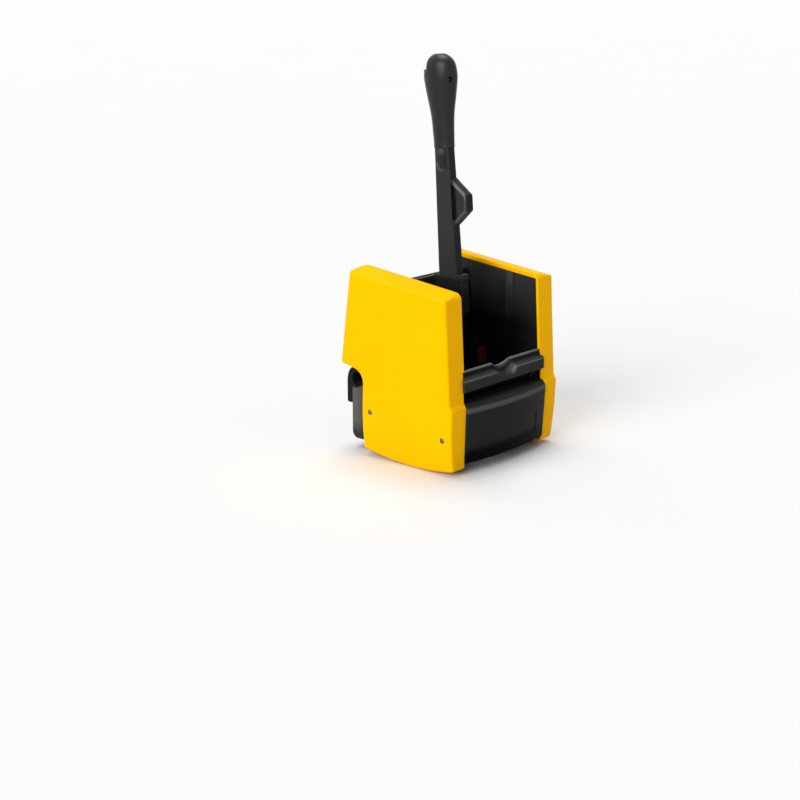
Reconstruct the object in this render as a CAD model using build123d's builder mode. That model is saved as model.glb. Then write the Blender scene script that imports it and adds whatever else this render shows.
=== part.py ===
from build123d import *
from math import cos, pi, radians, sin, sqrt, tan
import os

# Vertical mop press. A lever is socketed into a moving jaw that rocks forward on a low axle
# and squeezes a mop against a sloping fixed jaw. Two hollow covers hide the return springs.
# Origin: on the axis of the tube that the press is clamped to, midway between the covers.
# +X is to the right seen from the front, -Y is the front and +Z is up. Millimetres.

os.makedirs("parts", exist_ok=True)

# Driving dimensions: general
gap = 0.3  # room between neighbouring pieces
running_clearance = 0.05  # radial, shaft in bush
screw_clearance = 0.2  # radial, screw in its hole

# Tube clamp
tube_diameter = 25.0
clamp_clearance = 0.05  # radial
bracket_width = 30.0
bracket_overhang = 5.0  # beyond the side frame
bracket_back_y = 12.0
bracket_bottom_z = -101.0
bracket_shelf_z = -15.5  # top of the block under the tube
bracket_ear_z = 26.0
bracket_ear = 16.0  # depth of the ear above the tube
bracket_corner = 12.0  # round the heel of the bracket
strap_ring = 9.5  # thickness of the strap round the tube
strap_leg = 10.7
strap_leg_drop = 42.0
strap_corner = 3.5
strap_ear = 8.0
bracket_screw_inset = 7.0  # from the inner side of the bracket
bracket_screw_heights = (-88.0, -52.0, 6.0)
strap_bolt_high = 19.5
strap_bolt_low = -33.0

# Side frames and the chamber between them
chamber_width = 194.0
frame_wall = 4.0
frame_inset = 9.0  # from the edge of the cover to the edge of the frame
liner = 3.0  # raised rear part of each inner wall
liner_front_y = -146.0
liner_bottom_z = -38.0
liner_slope = 12.0

# Covers, as seen from the side (Y, Z)
cover_depth = 36.7
cover_wall = 3.0
cover_front_y = -218.0  # just above the step in the front edge
cover_front_lean = 10.0  # of the front edge above the step
cover_top_back_y = -12.5
cover_top_back_z = 191.2
cover_top_front_z = 169.6
cover_step_z = -1.0
cover_step_depth = 5.0
cover_step_drop = 8.0
cover_foot_draft = 3.0  # of the front edge below the step
cover_foot_z = -108.0
cover_belly_y = -130.0
cover_belly_z = -116.0
cover_heel_room = 0.8  # in front of the bracket
cover_heel_z = -104.0
notch_room = 5.0  # in front of the bracket
notch_corner_drop = 3.0  # below the top of the bracket
notch_radius = 22.0
notch_tip_y = 8.5
notch_tip_rise = 7.0  # above the top of the bracket
cover_crown_radius = 12.0
cover_corner_radius = 6.0
cover_bevel = 7.0  # fall of the top face towards the outside
cover_taper_z = -22.0  # the outer face curves inwards below here
cover_taper = 11.0
cover_edge_radius = 4.5
cover_rim = 7.2  # height of the cover's inner rim along the top
cover_rim_edge = 3.5  # width of the same along the front and back edges
cover_rim_radius = 2.0
cover_screw_rear_y = -55.0
cover_screw_rear_z = -39.0
cover_screw_front_inset = 14.0  # behind the front edge
cover_screw_front_z = -57.0
post_radius = 5.5

# Screws
screw_radius = 2.0
screw_head_radius = 4.2
screw_head_height = 2.4
screw_grip = 7.0  # length of thread in the second piece
screw_seat = 0.6  # depth of the seat cut into a curved face
flange = 8.0  # thickness of the screwed flanges

# Rear panel
panel_front_y = -38.0
panel_wall = 4.0
panel_top_z = 158.0
panel_bottom_z = -98.0
panel_flange_low = 32.0  # depth of the side flanges at the bottom
panel_flange_high = 16.0
panel_flange_step_z = -10.0
panel_flange_top_z = 108.0
panel_screw_low_z = -80.0
panel_screw_mid_z = 30.0
panel_screw_high_z = 92.0

# Moving jaw and its axle
pivot_room = 61.0  # from the rear panel to the axle
pivot_z = -80.0
jaw_lean = 10.5  # degrees, top leaning back at rest
jaw_length = 245.4
jaw_face = 12.0  # front face, measured from the axle
jaw_skin = 5.0
jaw_rib = 4.0
jaw_rib_low = 9.0  # ribs reach this far behind the axle line at the bottom
jaw_low = 10.0  # lower edge of the plate
jaw_bar = 10.0  # bar along the top edge
jaw_bar_back = -2.0
jaw_cross_ribs = (80.0, 160.0)
jaw_slot_rows = (55.0, 105.0)
jaw_slot_places = (10.0, 20.0, 40.0, 50.0, 70.0)
jaw_rib_spacing = 30.0
hub_radius = 15.0
axle_radius = 6.0
bush_wall = 3.0
bush_flange_radius = 14.0
bush_flange = 5.0
axle_boss = 5.0
drain_slot_width = 6.0
drain_slot_length = 36.0

# Lever socket, lever arm and grip
lever_lean = 4.5  # degrees, top leaning back at rest
lever_offset = 8.8  # lever axis in front of the axle, where it leaves the socket
lever_rise = 253.0  # the same point above the axle
lever_depth = 38.6
lever_width = 17.0
lever_top_depth = 29.8
lever_top_width = 16.0
lever_corner = 3.0
lever_fit = 0.15
lever_length = 201.0  # from the socket to the grip
lever_tail = 58.0  # length inside the socket
tail_width = 9.0
tang_depth = 24.0
tang_width = 11.0
tang_length = 112.0
socket_wall_side = 3.85
socket_wall_front = 8.5
socket_wall_back = 7.1
socket_collar = 9.0
socket_collar_proud = 0.8
socket_edge_radius = 1.5
socket_web_drop = 26.0  # from the lever's base down to the top of the web
socket_nose_drop = 63.7  # down to the lowest point of the socket's front
socket_root_drop = 95.7  # down to where its underside meets the jaw
lug_top = 155.5
lug_bottom = 74.0
lug_reach = 45.4
lug_nose_top = 126.5
lug_nose_bottom = 101.8
lug_nose_radius = 5.0
lug_rim = 5.0
lug_recess = 3.5
lug_slot = 6.5
lug_slot_length = 57.0
lug_slot_q = 18.0
lug_width = 16.0
lug_root = 12.0
lug_heel = 22.0
lug_heel_w = 82.0
lever_straight = 8.0
lever_pad = 1.0
lever_pad_width = 24.0
lever_pad_length = 26.0
lever_bolt_drop = 38.0  # below the base of the lever
lever_bolt_spacing = 20.0
grip_length = 144.8
grip_ledge = 122.0
grip_ledge_back = 14.0
grip_screw_height = 105.0
grip_screw_depth = 23.0
grip_screw_turn = 20.0  # degrees, from straight ahead to the left
grip_screw_length = 17.0
GRIP_SECTIONS = (  # share of the grip's length, half depth, half width
    (0.0, 18.5, 13.3),
    (0.14, 18.8, 13.5),
    (0.28, 19.7, 14.2),
    (0.4, 21.6, 15.6),
    (0.51, 24.4, 17.6),
    (0.62, 27.1, 19.5),
    (0.7, 28.8, 20.8),
    (0.77, 29.5, 21.3),
    (0.84, 28.5, 20.6),
    (0.9, 26.2, 18.9),
    (0.95, 21.0, 15.1),
    (0.985, 13.6, 9.8),
    (1.0, 7.0, 5.0),
)

# Fixed front jaw
ledge_reach = 3.0  # in front of the covers' front edges
ledge_front_z = 33.0
ledge_drop = 18.0
ledge_wall = 4.0
ledge_lip = 3.4  # thickness of the lip in front of the covers
lip_reach = 2.0  # sideways, in front of the covers
ridge_setback = 6.0  # behind the covers' front edges
ridge_z = 47.0
ridge_crest = 4.4
ridge_width = 6.0
ridge_fall = 3.0
ridge_step = 10.5
ridge_radius = 2.0
ridge_back_radius = 0.8
ledge_scoop = 5.5  # radius of the hollow below the ridge
ledge_edge_radius = 2.0
lip_edge_radius = 1.0
fixed_foot_room = 30.0  # in front of the axle
fixed_foot_drop = 4.0  # below the axle
fixed_wall = 5.0
handle_notch_radius = 40.0
handle_notch_depth = 8.5
handle_notch_fall = 60.0  # degrees, in front of the ridge
core_half = 34.0  # solid part of the ledge round the notch
core_drop = 28.0  # along the plate
cheek_start = 22.0  # along the plate
cheek_end = 120.0
cheek_depth = 20.0
cheek_screw_high = 45.0
cheek_screw_low = 100.0
fixed_slot_place = 92.0  # middle of the slots, along the plate
fixed_slot_pitch = 19.0
fixed_slot_count = 9

# Front apron
apron_top_z = -3.5
apron_bottom_z = -99.0
apron_bulge = 10.0
apron_proud = 5.0  # top corners, in front of the covers
apron_rake = 6.0  # bottom edge, behind the top edge
apron_wall = 3.5
apron_shoulder = 12.0
apron_panel_width = 150.0
apron_panel_height = 33.0
apron_panel_depth = 1.0
apron_upstand = 3.6  # thickness of the wall that closes the gap under the ledge
apron_upstand_inset = 14.0  # behind the lip of the ledge
apron_panel_z = -84.0
apron_tab = 24.0  # from the front edge of the apron to the back of its tabs
apron_tab_top_z = -22.0
apron_tab_bottom_z = -95.0
apron_screw_inset = 17.0
apron_screw_high_z = -40.0
apron_screw_low_z = -85.0

# Return springs and their pins
crank_length = 26.0
crank_thickness = 6.0
crank_half = 8.0
crank_hub_radius = 11.0
pin_radius = 3.4
pin_reach = 8.0  # free length of the pins beyond the cranks
anchor_z = 45.0
anchor_boss = 9.0
anchor_boss_radius = 7.0
key_radius = 2.0
key_x = 45.0  # keys between axle and jaw
clip_thickness = 1.5
clip_radius = 9.0
groove_depth = 1.2
axle_end = 2.5  # beyond the clip
spring_wire = 2.0
spring_bend = 3.0
spring_turns = 9
spring_pitch = 4.0
spring_offset = 4.2  # from the cranks to the plane of the hooks
spring_fit = 0.1  # room between a hook and its pin

# Glides, buffers and bolts
glide_room = 0.6  # between glide and liner
glide_width = 18.0
glide_height = 27.0
glide_depth = 16.0  # in front of the jaw
glide_thickness = 4.5
glide_screw_grip = 3.0
glide_base = 85.0  # along the jaw
glide_screw_inset = 5.6
ramp_height = 25.0
buffer_radius = 9.0
buffer_x = 45.0
buffer_height = 228.0  # along the jaw
buffer_pad = 28.0
stem_radius = 3.0
bolt_radius = 3.0
bolt_head_radius = 5.0
bolt_head_height = 4.0
bolt_grip = 16.0
nut_radius = 5.6
nut_height = 5.0

# Derived places
tube_radius = tube_diameter / 2
bore_radius = tube_radius + clamp_clearance
wall_in = chamber_width / 2
wall_out = wall_in + frame_wall
rim_x = wall_out + gap
cover_x = rim_x + cover_depth
inner_width = chamber_width - 2 * gap
panel_back_y = panel_front_y + panel_wall
inner_half = inner_width / 2
jaw_half = wall_in - bush_flange - gap
liner_back_y = panel_front_y - panel_flange_low - liner
pivot_y = panel_front_y - pivot_room
pin_y = pivot_y - crank_length
boss_x = wall_out + axle_boss
anchor_x = wall_out + anchor_boss
bush_radius = axle_radius + bush_wall
bush_bore = bush_radius + running_clearance
axle_bore = axle_radius + running_clearance
crank_x = boss_x + gap
clip_x = crank_x + crank_thickness + gap
pin_end_x = crank_x + crank_thickness + pin_reach
spring_x = crank_x + crank_thickness + spring_offset
glide_outer_x = wall_in - liner - glide_room
glide_inner_x = glide_outer_x - glide_width
glide_screw_x = glide_inner_x + glide_screw_inset
bolt_bore = bolt_radius + screw_clearance
bracket_outer_x = wall_out + bracket_overhang
bracket_inner_x = bracket_outer_x - bracket_width
bracket_mid_x = bracket_outer_x - bracket_width / 2
bracket_screw_x = bracket_inner_x + bracket_screw_inset
bracket_front_y = panel_back_y + gap
bracket_slope = -bracket_front_y - bracket_ear
strap_leg_y = bracket_back_y + gap
ledge_half = rim_x - gap
lip_half = ledge_half + lip_reach
ledge_front_y = cover_front_y - ledge_reach
ridge_y = cover_front_y + ridge_setback
apron_half = ledge_half - gap
apron_end_y = cover_front_y - cover_step_depth
apron_low_y = apron_end_y - apron_proud + apron_rake
apron_front_y = apron_low_y - apron_bulge
apron_step_y = apron_end_y + frame_inset - 3 * gap
apron_upstand_y = ledge_front_y + ledge_wall + apron_upstand_inset
apron_back_y = apron_upstand_y  # the top of the apron reaches back to the upstand
apron_return = apron_back_y - apron_end_y
apron_tab_y = apron_end_y + apron_tab
apron_screw_y = apron_end_y + apron_screw_inset
apron_height = apron_top_z - apron_bottom_z
apron_radius = (apron_half**2 + apron_bulge**2) / (2 * apron_bulge)
apron_centre_y = apron_front_y + apron_radius
apron_way = (0, -apron_rake, apron_height)
apron_slant = sqrt(apron_rake**2 + apron_height**2) / apron_height
panel_shift = -apron_rake * (apron_panel_z - apron_bottom_z) / apron_height
upstand_half = inner_half - flange - gap  # between the cheeks of the front jaw
taper_end_z = cover_belly_z - cover_corner_radius
taper_height = cover_taper_z - taper_end_z
taper_radius = (taper_height**2 + cover_taper**2) / (2 * cover_taper)

TOP_BACK = (cover_top_back_y, cover_top_back_z)
TOP_FRONT = (cover_front_y + cover_front_lean, cover_top_front_z)
STEP = (cover_front_y, cover_step_z)
STEP_FOOT = (apron_end_y, cover_step_z - cover_step_drop)
FOOT = (apron_end_y + cover_foot_draft, cover_foot_z)
BELLY = (cover_belly_y, cover_belly_z)
HEEL = (bracket_front_y - cover_heel_room, cover_heel_z)
NOTCH_CORNER = (bracket_front_y - notch_room, bracket_ear_z - notch_corner_drop)
NOTCH_TIP = (notch_tip_y, bracket_ear_z + notch_tip_rise)
COVER_CORNERS = (
    (TOP_FRONT, cover_crown_radius),
    (NOTCH_CORNER, notch_radius),
    (TOP_BACK, cover_corner_radius),
    (FOOT, cover_corner_radius),
    (HEEL, cover_corner_radius),
    (NOTCH_TIP, cover_corner_radius),
)
COVER_SCREWS = (
    (cover_screw_rear_y, cover_screw_rear_z),
    (cover_front_y + cover_screw_front_inset, cover_screw_front_z),
)

PLATE_TOP = (ridge_y + ridge_width, ridge_z - ridge_fall)
PLATE_FOOT = (pivot_y - fixed_foot_room, pivot_z - fixed_foot_drop)
plate_length = sqrt((PLATE_FOOT[0] - PLATE_TOP[0]) ** 2 + (PLATE_FOOT[1] - PLATE_TOP[1]) ** 2)
plate_y = (PLATE_FOOT[0] - PLATE_TOP[0]) / plate_length
plate_z = (PLATE_FOOT[1] - PLATE_TOP[1]) / plate_length


def on_plate(along, outward):
    """Point in side view, along the fixed jaw from its top and outward from its inner face."""
    y = PLATE_TOP[0] + plate_y * along + plate_z * outward
    z = PLATE_TOP[1] + plate_z * along - plate_y * outward
    return (y, z)


RIDGE = (ridge_y, ridge_z)
RIDGE_BACK = (ridge_y + ridge_crest, ridge_z)
LEDGE_KNEE = (ridge_y - ridge_step / 4, ridge_z - ridge_step)
LEDGE_FRONT = (ledge_front_y, ledge_front_z)
LIP_FOOT = (ledge_front_y, ledge_front_z - ledge_drop)
LIP_INNER = (ledge_front_y + ledge_wall, ledge_front_z - ledge_drop)
LIP_BACK = (ledge_front_y + ledge_lip, ledge_front_z - ledge_drop)
LIP_BACK_TOP = (ledge_front_y + ledge_lip, ledge_front_z + ledge_lip)
LEDGE_UNDER = (ledge_front_y + ledge_wall, ledge_front_z - ledge_wall * 0.4)
LEDGE_CORNERS = (
    (RIDGE, ridge_radius),
    (RIDGE_BACK, ridge_back_radius),
    (LEDGE_KNEE, ledge_scoop),
    (LEDGE_FRONT, ledge_edge_radius),
    (LIP_FOOT, lip_edge_radius),
)
LIP_CORNERS = ((LEDGE_FRONT, ledge_edge_radius), (LIP_FOOT, lip_edge_radius))
PLATE_UNDER = on_plate(fixed_wall * 0.4, fixed_wall)
PLATE_HEEL = on_plate(plate_length, fixed_wall)
CORE_FOOT = on_plate(core_drop, fixed_wall)
CHEEK_TOP = on_plate(cheek_start, fixed_wall / 2)
CHEEK_FRONT = on_plate(cheek_start, cheek_depth)
CHEEK_LOW = on_plate(cheek_end, cheek_depth)
CHEEK_FOOT = on_plate(cheek_end, fixed_wall / 2)
GUSSETS = (-2 * core_half, -1.5 * core_half, 1.5 * core_half, 2 * core_half)

PANEL_SCREWS = (
    (panel_front_y - panel_flange_low * 0.6, panel_screw_low_z),
    (panel_front_y - panel_flange_high / 2, panel_screw_mid_z),
    (panel_front_y - panel_flange_high / 2, panel_screw_high_z),
)
CHEEK_SCREWS = (
    on_plate(cheek_screw_high, (fixed_wall + cheek_depth) / 2),
    on_plate(cheek_screw_low, (fixed_wall + cheek_depth) / 2),
)
APRON_SCREWS = ((apron_screw_y, apron_screw_high_z), (apron_screw_y, apron_screw_low_z))
FRAME_SCREWS = PANEL_SCREWS + CHEEK_SCREWS + APRON_SCREWS

OUT = (1, 0, 0)
LEFT = (-1, 0, 0)
FRONT = (0, -1, 0)
BACK = (0, 1, 0)
UP = (0, 0, 1)

fixed_face = Plane(
    origin=(0, *on_plate(fixed_slot_place, 0)), x_dir=OUT, z_dir=(0, -plate_z, plate_y)
)
notch_section = Plane(origin=(0, ridge_y, ridge_z - handle_notch_depth + handle_notch_radius), z_dir=FRONT)
notch_way = (0, -cos(radians(handle_notch_fall)), -sin(radians(handle_notch_fall)))

lean_sin = sin(radians(jaw_lean))
lean_cos = cos(radians(jaw_lean))
jaw_up = Vector(0, lean_sin, lean_cos)
jaw_forward = Vector(0, -lean_cos, lean_sin)
pivot = Vector(0, pivot_y, pivot_z)

lever_up = Vector(0, sin(radians(lever_lean)), cos(radians(lever_lean)))
lever_forward = Vector(0, -cos(radians(lever_lean)), sin(radians(lever_lean)))
lever_base = pivot + Vector(0, -lever_offset, lever_rise)
lever_slope = tan(radians(jaw_lean - lever_lean))
socket_half = tail_width / 2 + lever_fit + socket_wall_side
socket_front = lever_depth / 2 + socket_wall_front
socket_back = lever_depth / 2 + socket_wall_back
base_n = (lever_base - pivot).dot(jaw_forward)
base_v = (lever_base - pivot).dot(jaw_up)
socket_top = base_v + socket_collar
socket_web_top = base_v - socket_web_drop
socket_nose = base_v - socket_nose_drop
socket_root = base_v - socket_root_drop
buffer_place = pivot + jaw_up * buffer_height - jaw_forward * (buffer_radius + gap)
buffer_y = buffer_place.Y
buffer_z = buffer_place.Z


def lever_n(v):
    """How far in front of the axle the lever axis is, v up along the jaw."""
    return base_n + (v - base_v) * lever_slope


ramp_base = glide_base + glide_height + gap * 2
key_bore = key_radius + running_clearance
key_place = pivot + Vector(key_x, 0, 0)
crank_mid_x = crank_x + crank_thickness / 2
axle_half = clip_x + clip_thickness + axle_end
jaw_rib_places = (0, jaw_rib_spacing, 2 * jaw_rib_spacing, jaw_half - jaw_rib / 2)
glide_screw_place = pivot + Vector(glide_screw_x, 0, 0)
glide_screw_place += jaw_up * (glide_base + glide_height / 2) + jaw_forward * (jaw_face - jaw_skin)
carrier_face = jaw_face + glide_depth - glide_thickness
carrier_depth = carrier_face - jaw_face + jaw_skin
grip_screw_place = lever_base + lever_up * (lever_length + grip_screw_height)
grip_screw_way = lever_forward * cos(radians(grip_screw_turn)) - Vector(sin(radians(grip_screw_turn)), 0, 0)
grip_screw_place += grip_screw_way * grip_screw_depth
bolt_place = lever_base - lever_up * lever_bolt_drop
bolt_step = lever_forward * (lever_bolt_spacing / 2)
LEVER_BOLTS = (bolt_place - bolt_step, bolt_place + bolt_step)
spring_radius = pin_radius + spring_fit + spring_wire / 2
spring_rise = sqrt((2 * pi * spring_radius) ** 2 + spring_pitch**2)
spring_sin = spring_pitch / spring_rise
spring_cos = 2 * pi * spring_radius / spring_rise
coil_x = spring_x + spring_bend * (1 - spring_sin)
coil_height = (spring_turns + 0.5) * spring_pitch
coil_low_z = (anchor_z + pivot_z - coil_height) / 2
coil_high_z = coil_low_z + coil_height
SPRING_ENDS = (
    (1, coil_high_z, anchor_z + spring_radius, anchor_z),
    (-1, coil_low_z, pivot_z - spring_radius, pivot_z),
)
MIN = (Align.CENTER, Align.CENTER, Align.MIN)
MAX = (Align.CENTER, Align.CENTER, Align.MAX)


def finish(builder, name):
    """Label a finished piece and write it."""
    builder.part.label = name
    export_step(builder.part, f"parts/{name}.step")


def finish_pair(builder, name):
    """Write a right-hand piece and its mirror image on the left."""
    finish(builder, f"{name}_right")
    with BuildPart() as left:
        mirror(builder.part, about=Plane.YZ)
    finish(left, f"{name}_left")


def jaw_side(x):
    """Side view of the moving jaw at x: first axis forwards, second axis up along the jaw."""
    return Plane(origin=pivot + Vector(x, 0, 0), x_dir=jaw_forward, z_dir=(-1, 0, 0))


def jaw_front(depth):
    """Front view of the moving jaw, depth in front of the axle: X and up along the jaw."""
    return Plane(origin=pivot + jaw_forward * depth, x_dir=(1, 0, 0), z_dir=jaw_forward)


def lever_section(height):
    """Cross-section of the lever, height above the socket: X and backwards."""
    return Plane(origin=lever_base + lever_up * height, x_dir=(1, 0, 0), z_dir=lever_up)


def lever_side(x):
    """Side view of the lever at x: forwards and up along the lever."""
    return Plane(origin=lever_base + Vector(x, 0, 0), x_dir=lever_forward, z_dir=(-1, 0, 0))


def seat(place, direction):
    """Plane that a head or a boss stands on, facing direction."""
    return Plane(origin=place, z_dir=direction)


def add_boss(plane, radius, height):
    """Round boss that stands on a plane."""
    with Locations(plane):
        Cylinder(radius, height, align=MIN)


def add_screw(plane, shank):
    """Round-headed screw: the head stands on the plane and the shank goes in behind it."""
    with Locations(plane):
        Cylinder(screw_head_radius, screw_head_height, align=MIN)
        Cylinder(screw_radius, shank, align=MAX)


def add_bolt(plane, shank):
    """Cap bolt: the head stands on the plane and the shank goes in behind it."""
    with Locations(plane):
        Cylinder(bolt_head_radius, bolt_head_height, align=MIN)
        Cylinder(bolt_radius, shank, align=MAX)


def cut_hole(plane, depth, radius=screw_radius + screw_clearance):
    """Round hole that goes in from a plane."""
    with Locations(plane):
        Cylinder(radius, depth, align=MAX, mode=Mode.SUBTRACT)


def cut_seat(plane):
    """Flat seat for the head of a screw in a curved face."""
    with Locations(plane):
        Cylinder(screw_head_radius + gap, cover_depth, align=MIN, mode=Mode.SUBTRACT)


def lug_profile(inset):
    """Side view of the lug on the lever, drawn in by inset."""
    with BuildSketch() as profile:
        with BuildLine():
            Polyline(
                (lug_root, lug_top),
                (lug_reach, lug_nose_top),
                (lug_reach, lug_nose_bottom),
                (lug_heel, lug_heel_w),
                (lug_root, lug_bottom),
                close=True,
            )
        make_face()
        for height in (lug_nose_top, lug_nose_bottom):
            fillet(profile.vertices().sort_by_distance((lug_reach, height))[0], lug_nose_radius)
        if inset > 0:
            offset(amount=-inset)
    return profile.sketch


def cover_profile(inset):
    """Side view of a cover, drawn in by inset."""
    with BuildSketch() as profile:
        with BuildLine():
            Polyline(TOP_BACK, TOP_FRONT, STEP, STEP_FOOT, FOOT)
            ThreePointArc(FOOT, BELLY, HEEL)
            Polyline(HEEL, NOTCH_CORNER, NOTCH_TIP, TOP_BACK)
        make_face()
        for corner, radius in COVER_CORNERS:
            fillet(profile.vertices().sort_by_distance(corner)[0], radius)
        if inset > 0:
            offset(amount=-inset)
    return profile.sketch


def below_rim(drop):
    """Side view of everything that is at least drop below the top edge of a cover."""
    along = Vector(TOP_FRONT[0] - TOP_BACK[0], TOP_FRONT[1] - TOP_BACK[1]).normalized()
    down = Vector(-along.Y, along.X) * drop
    start = Vector(*TOP_BACK) + down - along * cover_depth
    end = Vector(*TOP_FRONT) + down + along * cover_depth
    with BuildSketch() as region:
        with BuildLine():
            Polyline(start, end, (end.X, 2 * cover_belly_z), (start.X, 2 * cover_belly_z), close=True)
        make_face()
    return region.sketch


def inside_rim(room):
    """Side view of what the inner rim of a cover leaves open, drawn in by room."""
    with BuildSketch() as region:
        add(cover_profile(cover_rim_edge + room))
        add(below_rim(cover_rim + room), mode=Mode.INTERSECT)
    return region.sketch


def above_ledge(height):
    """Side view of everything higher than height."""
    with BuildSketch() as region:
        with Locations((cover_front_y, height)):
            Rectangle(-4 * cover_front_y, -4 * cover_front_y, align=(Align.CENTER, Align.MIN))
    return region.sketch


def frame_profile():
    """Side view of a side frame: it fills the cover's inner rim, and stays behind the front jaw below."""
    with BuildSketch() as profile:
        add(inside_rim(gap))
        with Locations((cover_front_y, ridge_z + gap)):
            Rectangle(4 * frame_inset, 10 * cover_depth, align=(Align.CENTER, Align.MAX), mode=Mode.SUBTRACT)
        add(cover_profile(frame_inset))
        add(below_rim(cover_rim + gap), mode=Mode.INTERSECT)
    return profile.sketch


def cover_block(inset):
    """Outer form of the right cover, drawn in by inset on every side but the open one."""
    along_top = Vector(0, *TOP_FRONT) - Vector(0, *TOP_BACK)
    across_top = Vector(cover_depth, 0, -cover_bevel)
    top = Plane(origin=(rim_x, *TOP_BACK), x_dir=along_top, z_dir=along_top.cross(across_top))
    face_x = cover_x - inset
    low_x = face_x - cover_taper
    with BuildPart() as block:
        with BuildSketch(Plane.YZ.offset(rim_x)):
            add(cover_profile(inset))
        extrude(amount=cover_depth - inset)
        split(bisect_by=top.offset(-inset), keep=Keep.BOTTOM)
        with BuildSketch(Plane.XZ):
            with BuildLine():
                TangentArc((face_x, cover_taper_z), (low_x, taper_end_z), tangent=(0, -1))
                Polyline(
                    (low_x, taper_end_z),
                    (2 * cover_x, taper_end_z),
                    (2 * cover_x, cover_taper_z),
                    (face_x, cover_taper_z),
                )
            make_face()
        extrude(amount=-2 * cover_front_y, both=True, mode=Mode.SUBTRACT)
    return block.part


def cover_face_x(z):
    """Where the outer face of a cover is at height z."""
    below = max(0, cover_taper_z - z)
    return cover_x - taper_radius + sqrt(taper_radius**2 - below**2)


def post_end_x(z):
    """How far a screw post reaches towards the cover at height z."""
    return cover_face_x(z - post_radius) - cover_wall - gap


# Side covers: hollow shells, open on the inside below a flat inner rim
with BuildPart() as cover_band:
    with BuildSketch(Plane.YZ.offset(wall_in)) as rim:
        add(cover_profile(0))
        add(inside_rim(0), mode=Mode.SUBTRACT)
        add(above_ledge(ridge_z + gap), mode=Mode.INTERSECT)
    extrude(amount=rim_x + cover_wall - wall_in)
    outline = (Plane.YZ.offset(wall_in) * cover_profile(0)).edges()
    band_face = cover_band.faces().sort_by(Axis.X)[0]
    fillet([e for e in band_face.edges() if min(side.distance_to(e @ 0.5) for side in outline) < 0.01], cover_rim_radius)

with BuildPart() as side_cover:
    add(cover_block(0))
    outer_faces = side_cover.faces().filter_by(lambda f: f.normal_at().X > 0.9)
    all_edges = [edge for face in outer_faces for edge in face.edges()]
    border = [e for e in all_edges if sum(e.is_same(other) for other in all_edges) == 1]
    fillet(border, cover_edge_radius)
    add(cover_block(cover_wall), mode=Mode.SUBTRACT)
    add(cover_band.part)
    for y, z in COVER_SCREWS:
        head_plane = seat((cover_face_x(z) - screw_seat, y, z), OUT)
        cut_hole(head_plane, cover_depth)
        cut_seat(head_plane)
finish_pair(side_cover, "side_cover")

with BuildPart() as cover_screws:
    for y, z in COVER_SCREWS:
        head_plane = seat((cover_face_x(z) - screw_seat, y, z), OUT)
        add_screw(head_plane, cover_wall + screw_grip)
    mirror(about=Plane.YZ)
finish(cover_screws, "cover_screws")

# Side frames: the walls of the chamber, raised by a liner behind
with BuildPart() as raised_liner:
    with BuildSketch(Plane.XY.offset(liner_bottom_z)):
        with BuildLine():
            Polyline(
                (wall_in, liner_front_y - liner_slope),
                (wall_in - liner, liner_front_y),
                (wall_in - liner, liner_back_y),
                (wall_in, liner_back_y),
                close=True,
            )
        make_face()
    extrude(amount=cover_top_back_z - liner_bottom_z)
    with BuildSketch(Plane.YZ.offset(wall_in - liner)):
        add(frame_profile())
    extrude(amount=liner, mode=Mode.INTERSECT)

with BuildPart() as side_frame:
    with BuildSketch(Plane.YZ.offset(wall_in)):
        add(frame_profile())
    extrude(amount=frame_wall)
    add(raised_liner.part)
    add_boss(seat((wall_out, pivot_y, pivot_z), OUT), hub_radius, axle_boss)
    add_boss(seat((wall_out, pin_y, anchor_z), OUT), anchor_boss_radius, anchor_boss)
    cut_hole(seat((boss_x, pivot_y, pivot_z), OUT), axle_boss + frame_wall, bush_bore)
    cut_hole(seat((anchor_x, pin_y, anchor_z), OUT), anchor_boss, pin_radius + running_clearance)
    for y, z in COVER_SCREWS:
        add_boss(seat((wall_out, y, z), OUT), post_radius, post_end_x(z) - wall_out)
        cut_hole(seat((post_end_x(z), y, z), OUT), screw_grip + screw_head_height)
    for y, z in FRAME_SCREWS:
        cut_hole(seat((wall_out, y, z), OUT), frame_wall)
finish_pair(side_frame, "side_frame")

# Rear panel with side flanges; one half, then mirrored
with BuildPart() as back_panel:
    with BuildSketch(Plane.XZ.offset(-panel_back_y)):
        with Locations((inner_half / 2, (panel_top_z + panel_bottom_z) / 2)):
            Rectangle(inner_half, panel_top_z - panel_bottom_z)
    extrude(amount=panel_wall)
    with BuildSketch(Plane.YZ.offset(inner_half - flange)):
        with BuildLine():
            Polyline(
                (panel_front_y, panel_bottom_z),
                (panel_front_y - panel_flange_low, panel_bottom_z),
                (panel_front_y - panel_flange_low, panel_flange_step_z),
                (panel_front_y - panel_flange_high, panel_flange_step_z + panel_flange_high),
                (panel_front_y - panel_flange_high, panel_flange_top_z),
                (panel_front_y, panel_flange_top_z),
                close=True,
            )
        make_face()
    extrude(amount=flange)
    for y, z in PANEL_SCREWS:
        cut_hole(seat((inner_half, y, z), OUT), flange)
    for z in bracket_screw_heights:
        cut_hole(seat((bracket_screw_x, panel_front_y, z), FRONT), panel_wall)
    cut_hole(seat((buffer_x, panel_front_y, buffer_z), FRONT), panel_wall, stem_radius + gap)
    mirror(about=Plane.YZ)
finish(back_panel, "back_panel")

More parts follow.
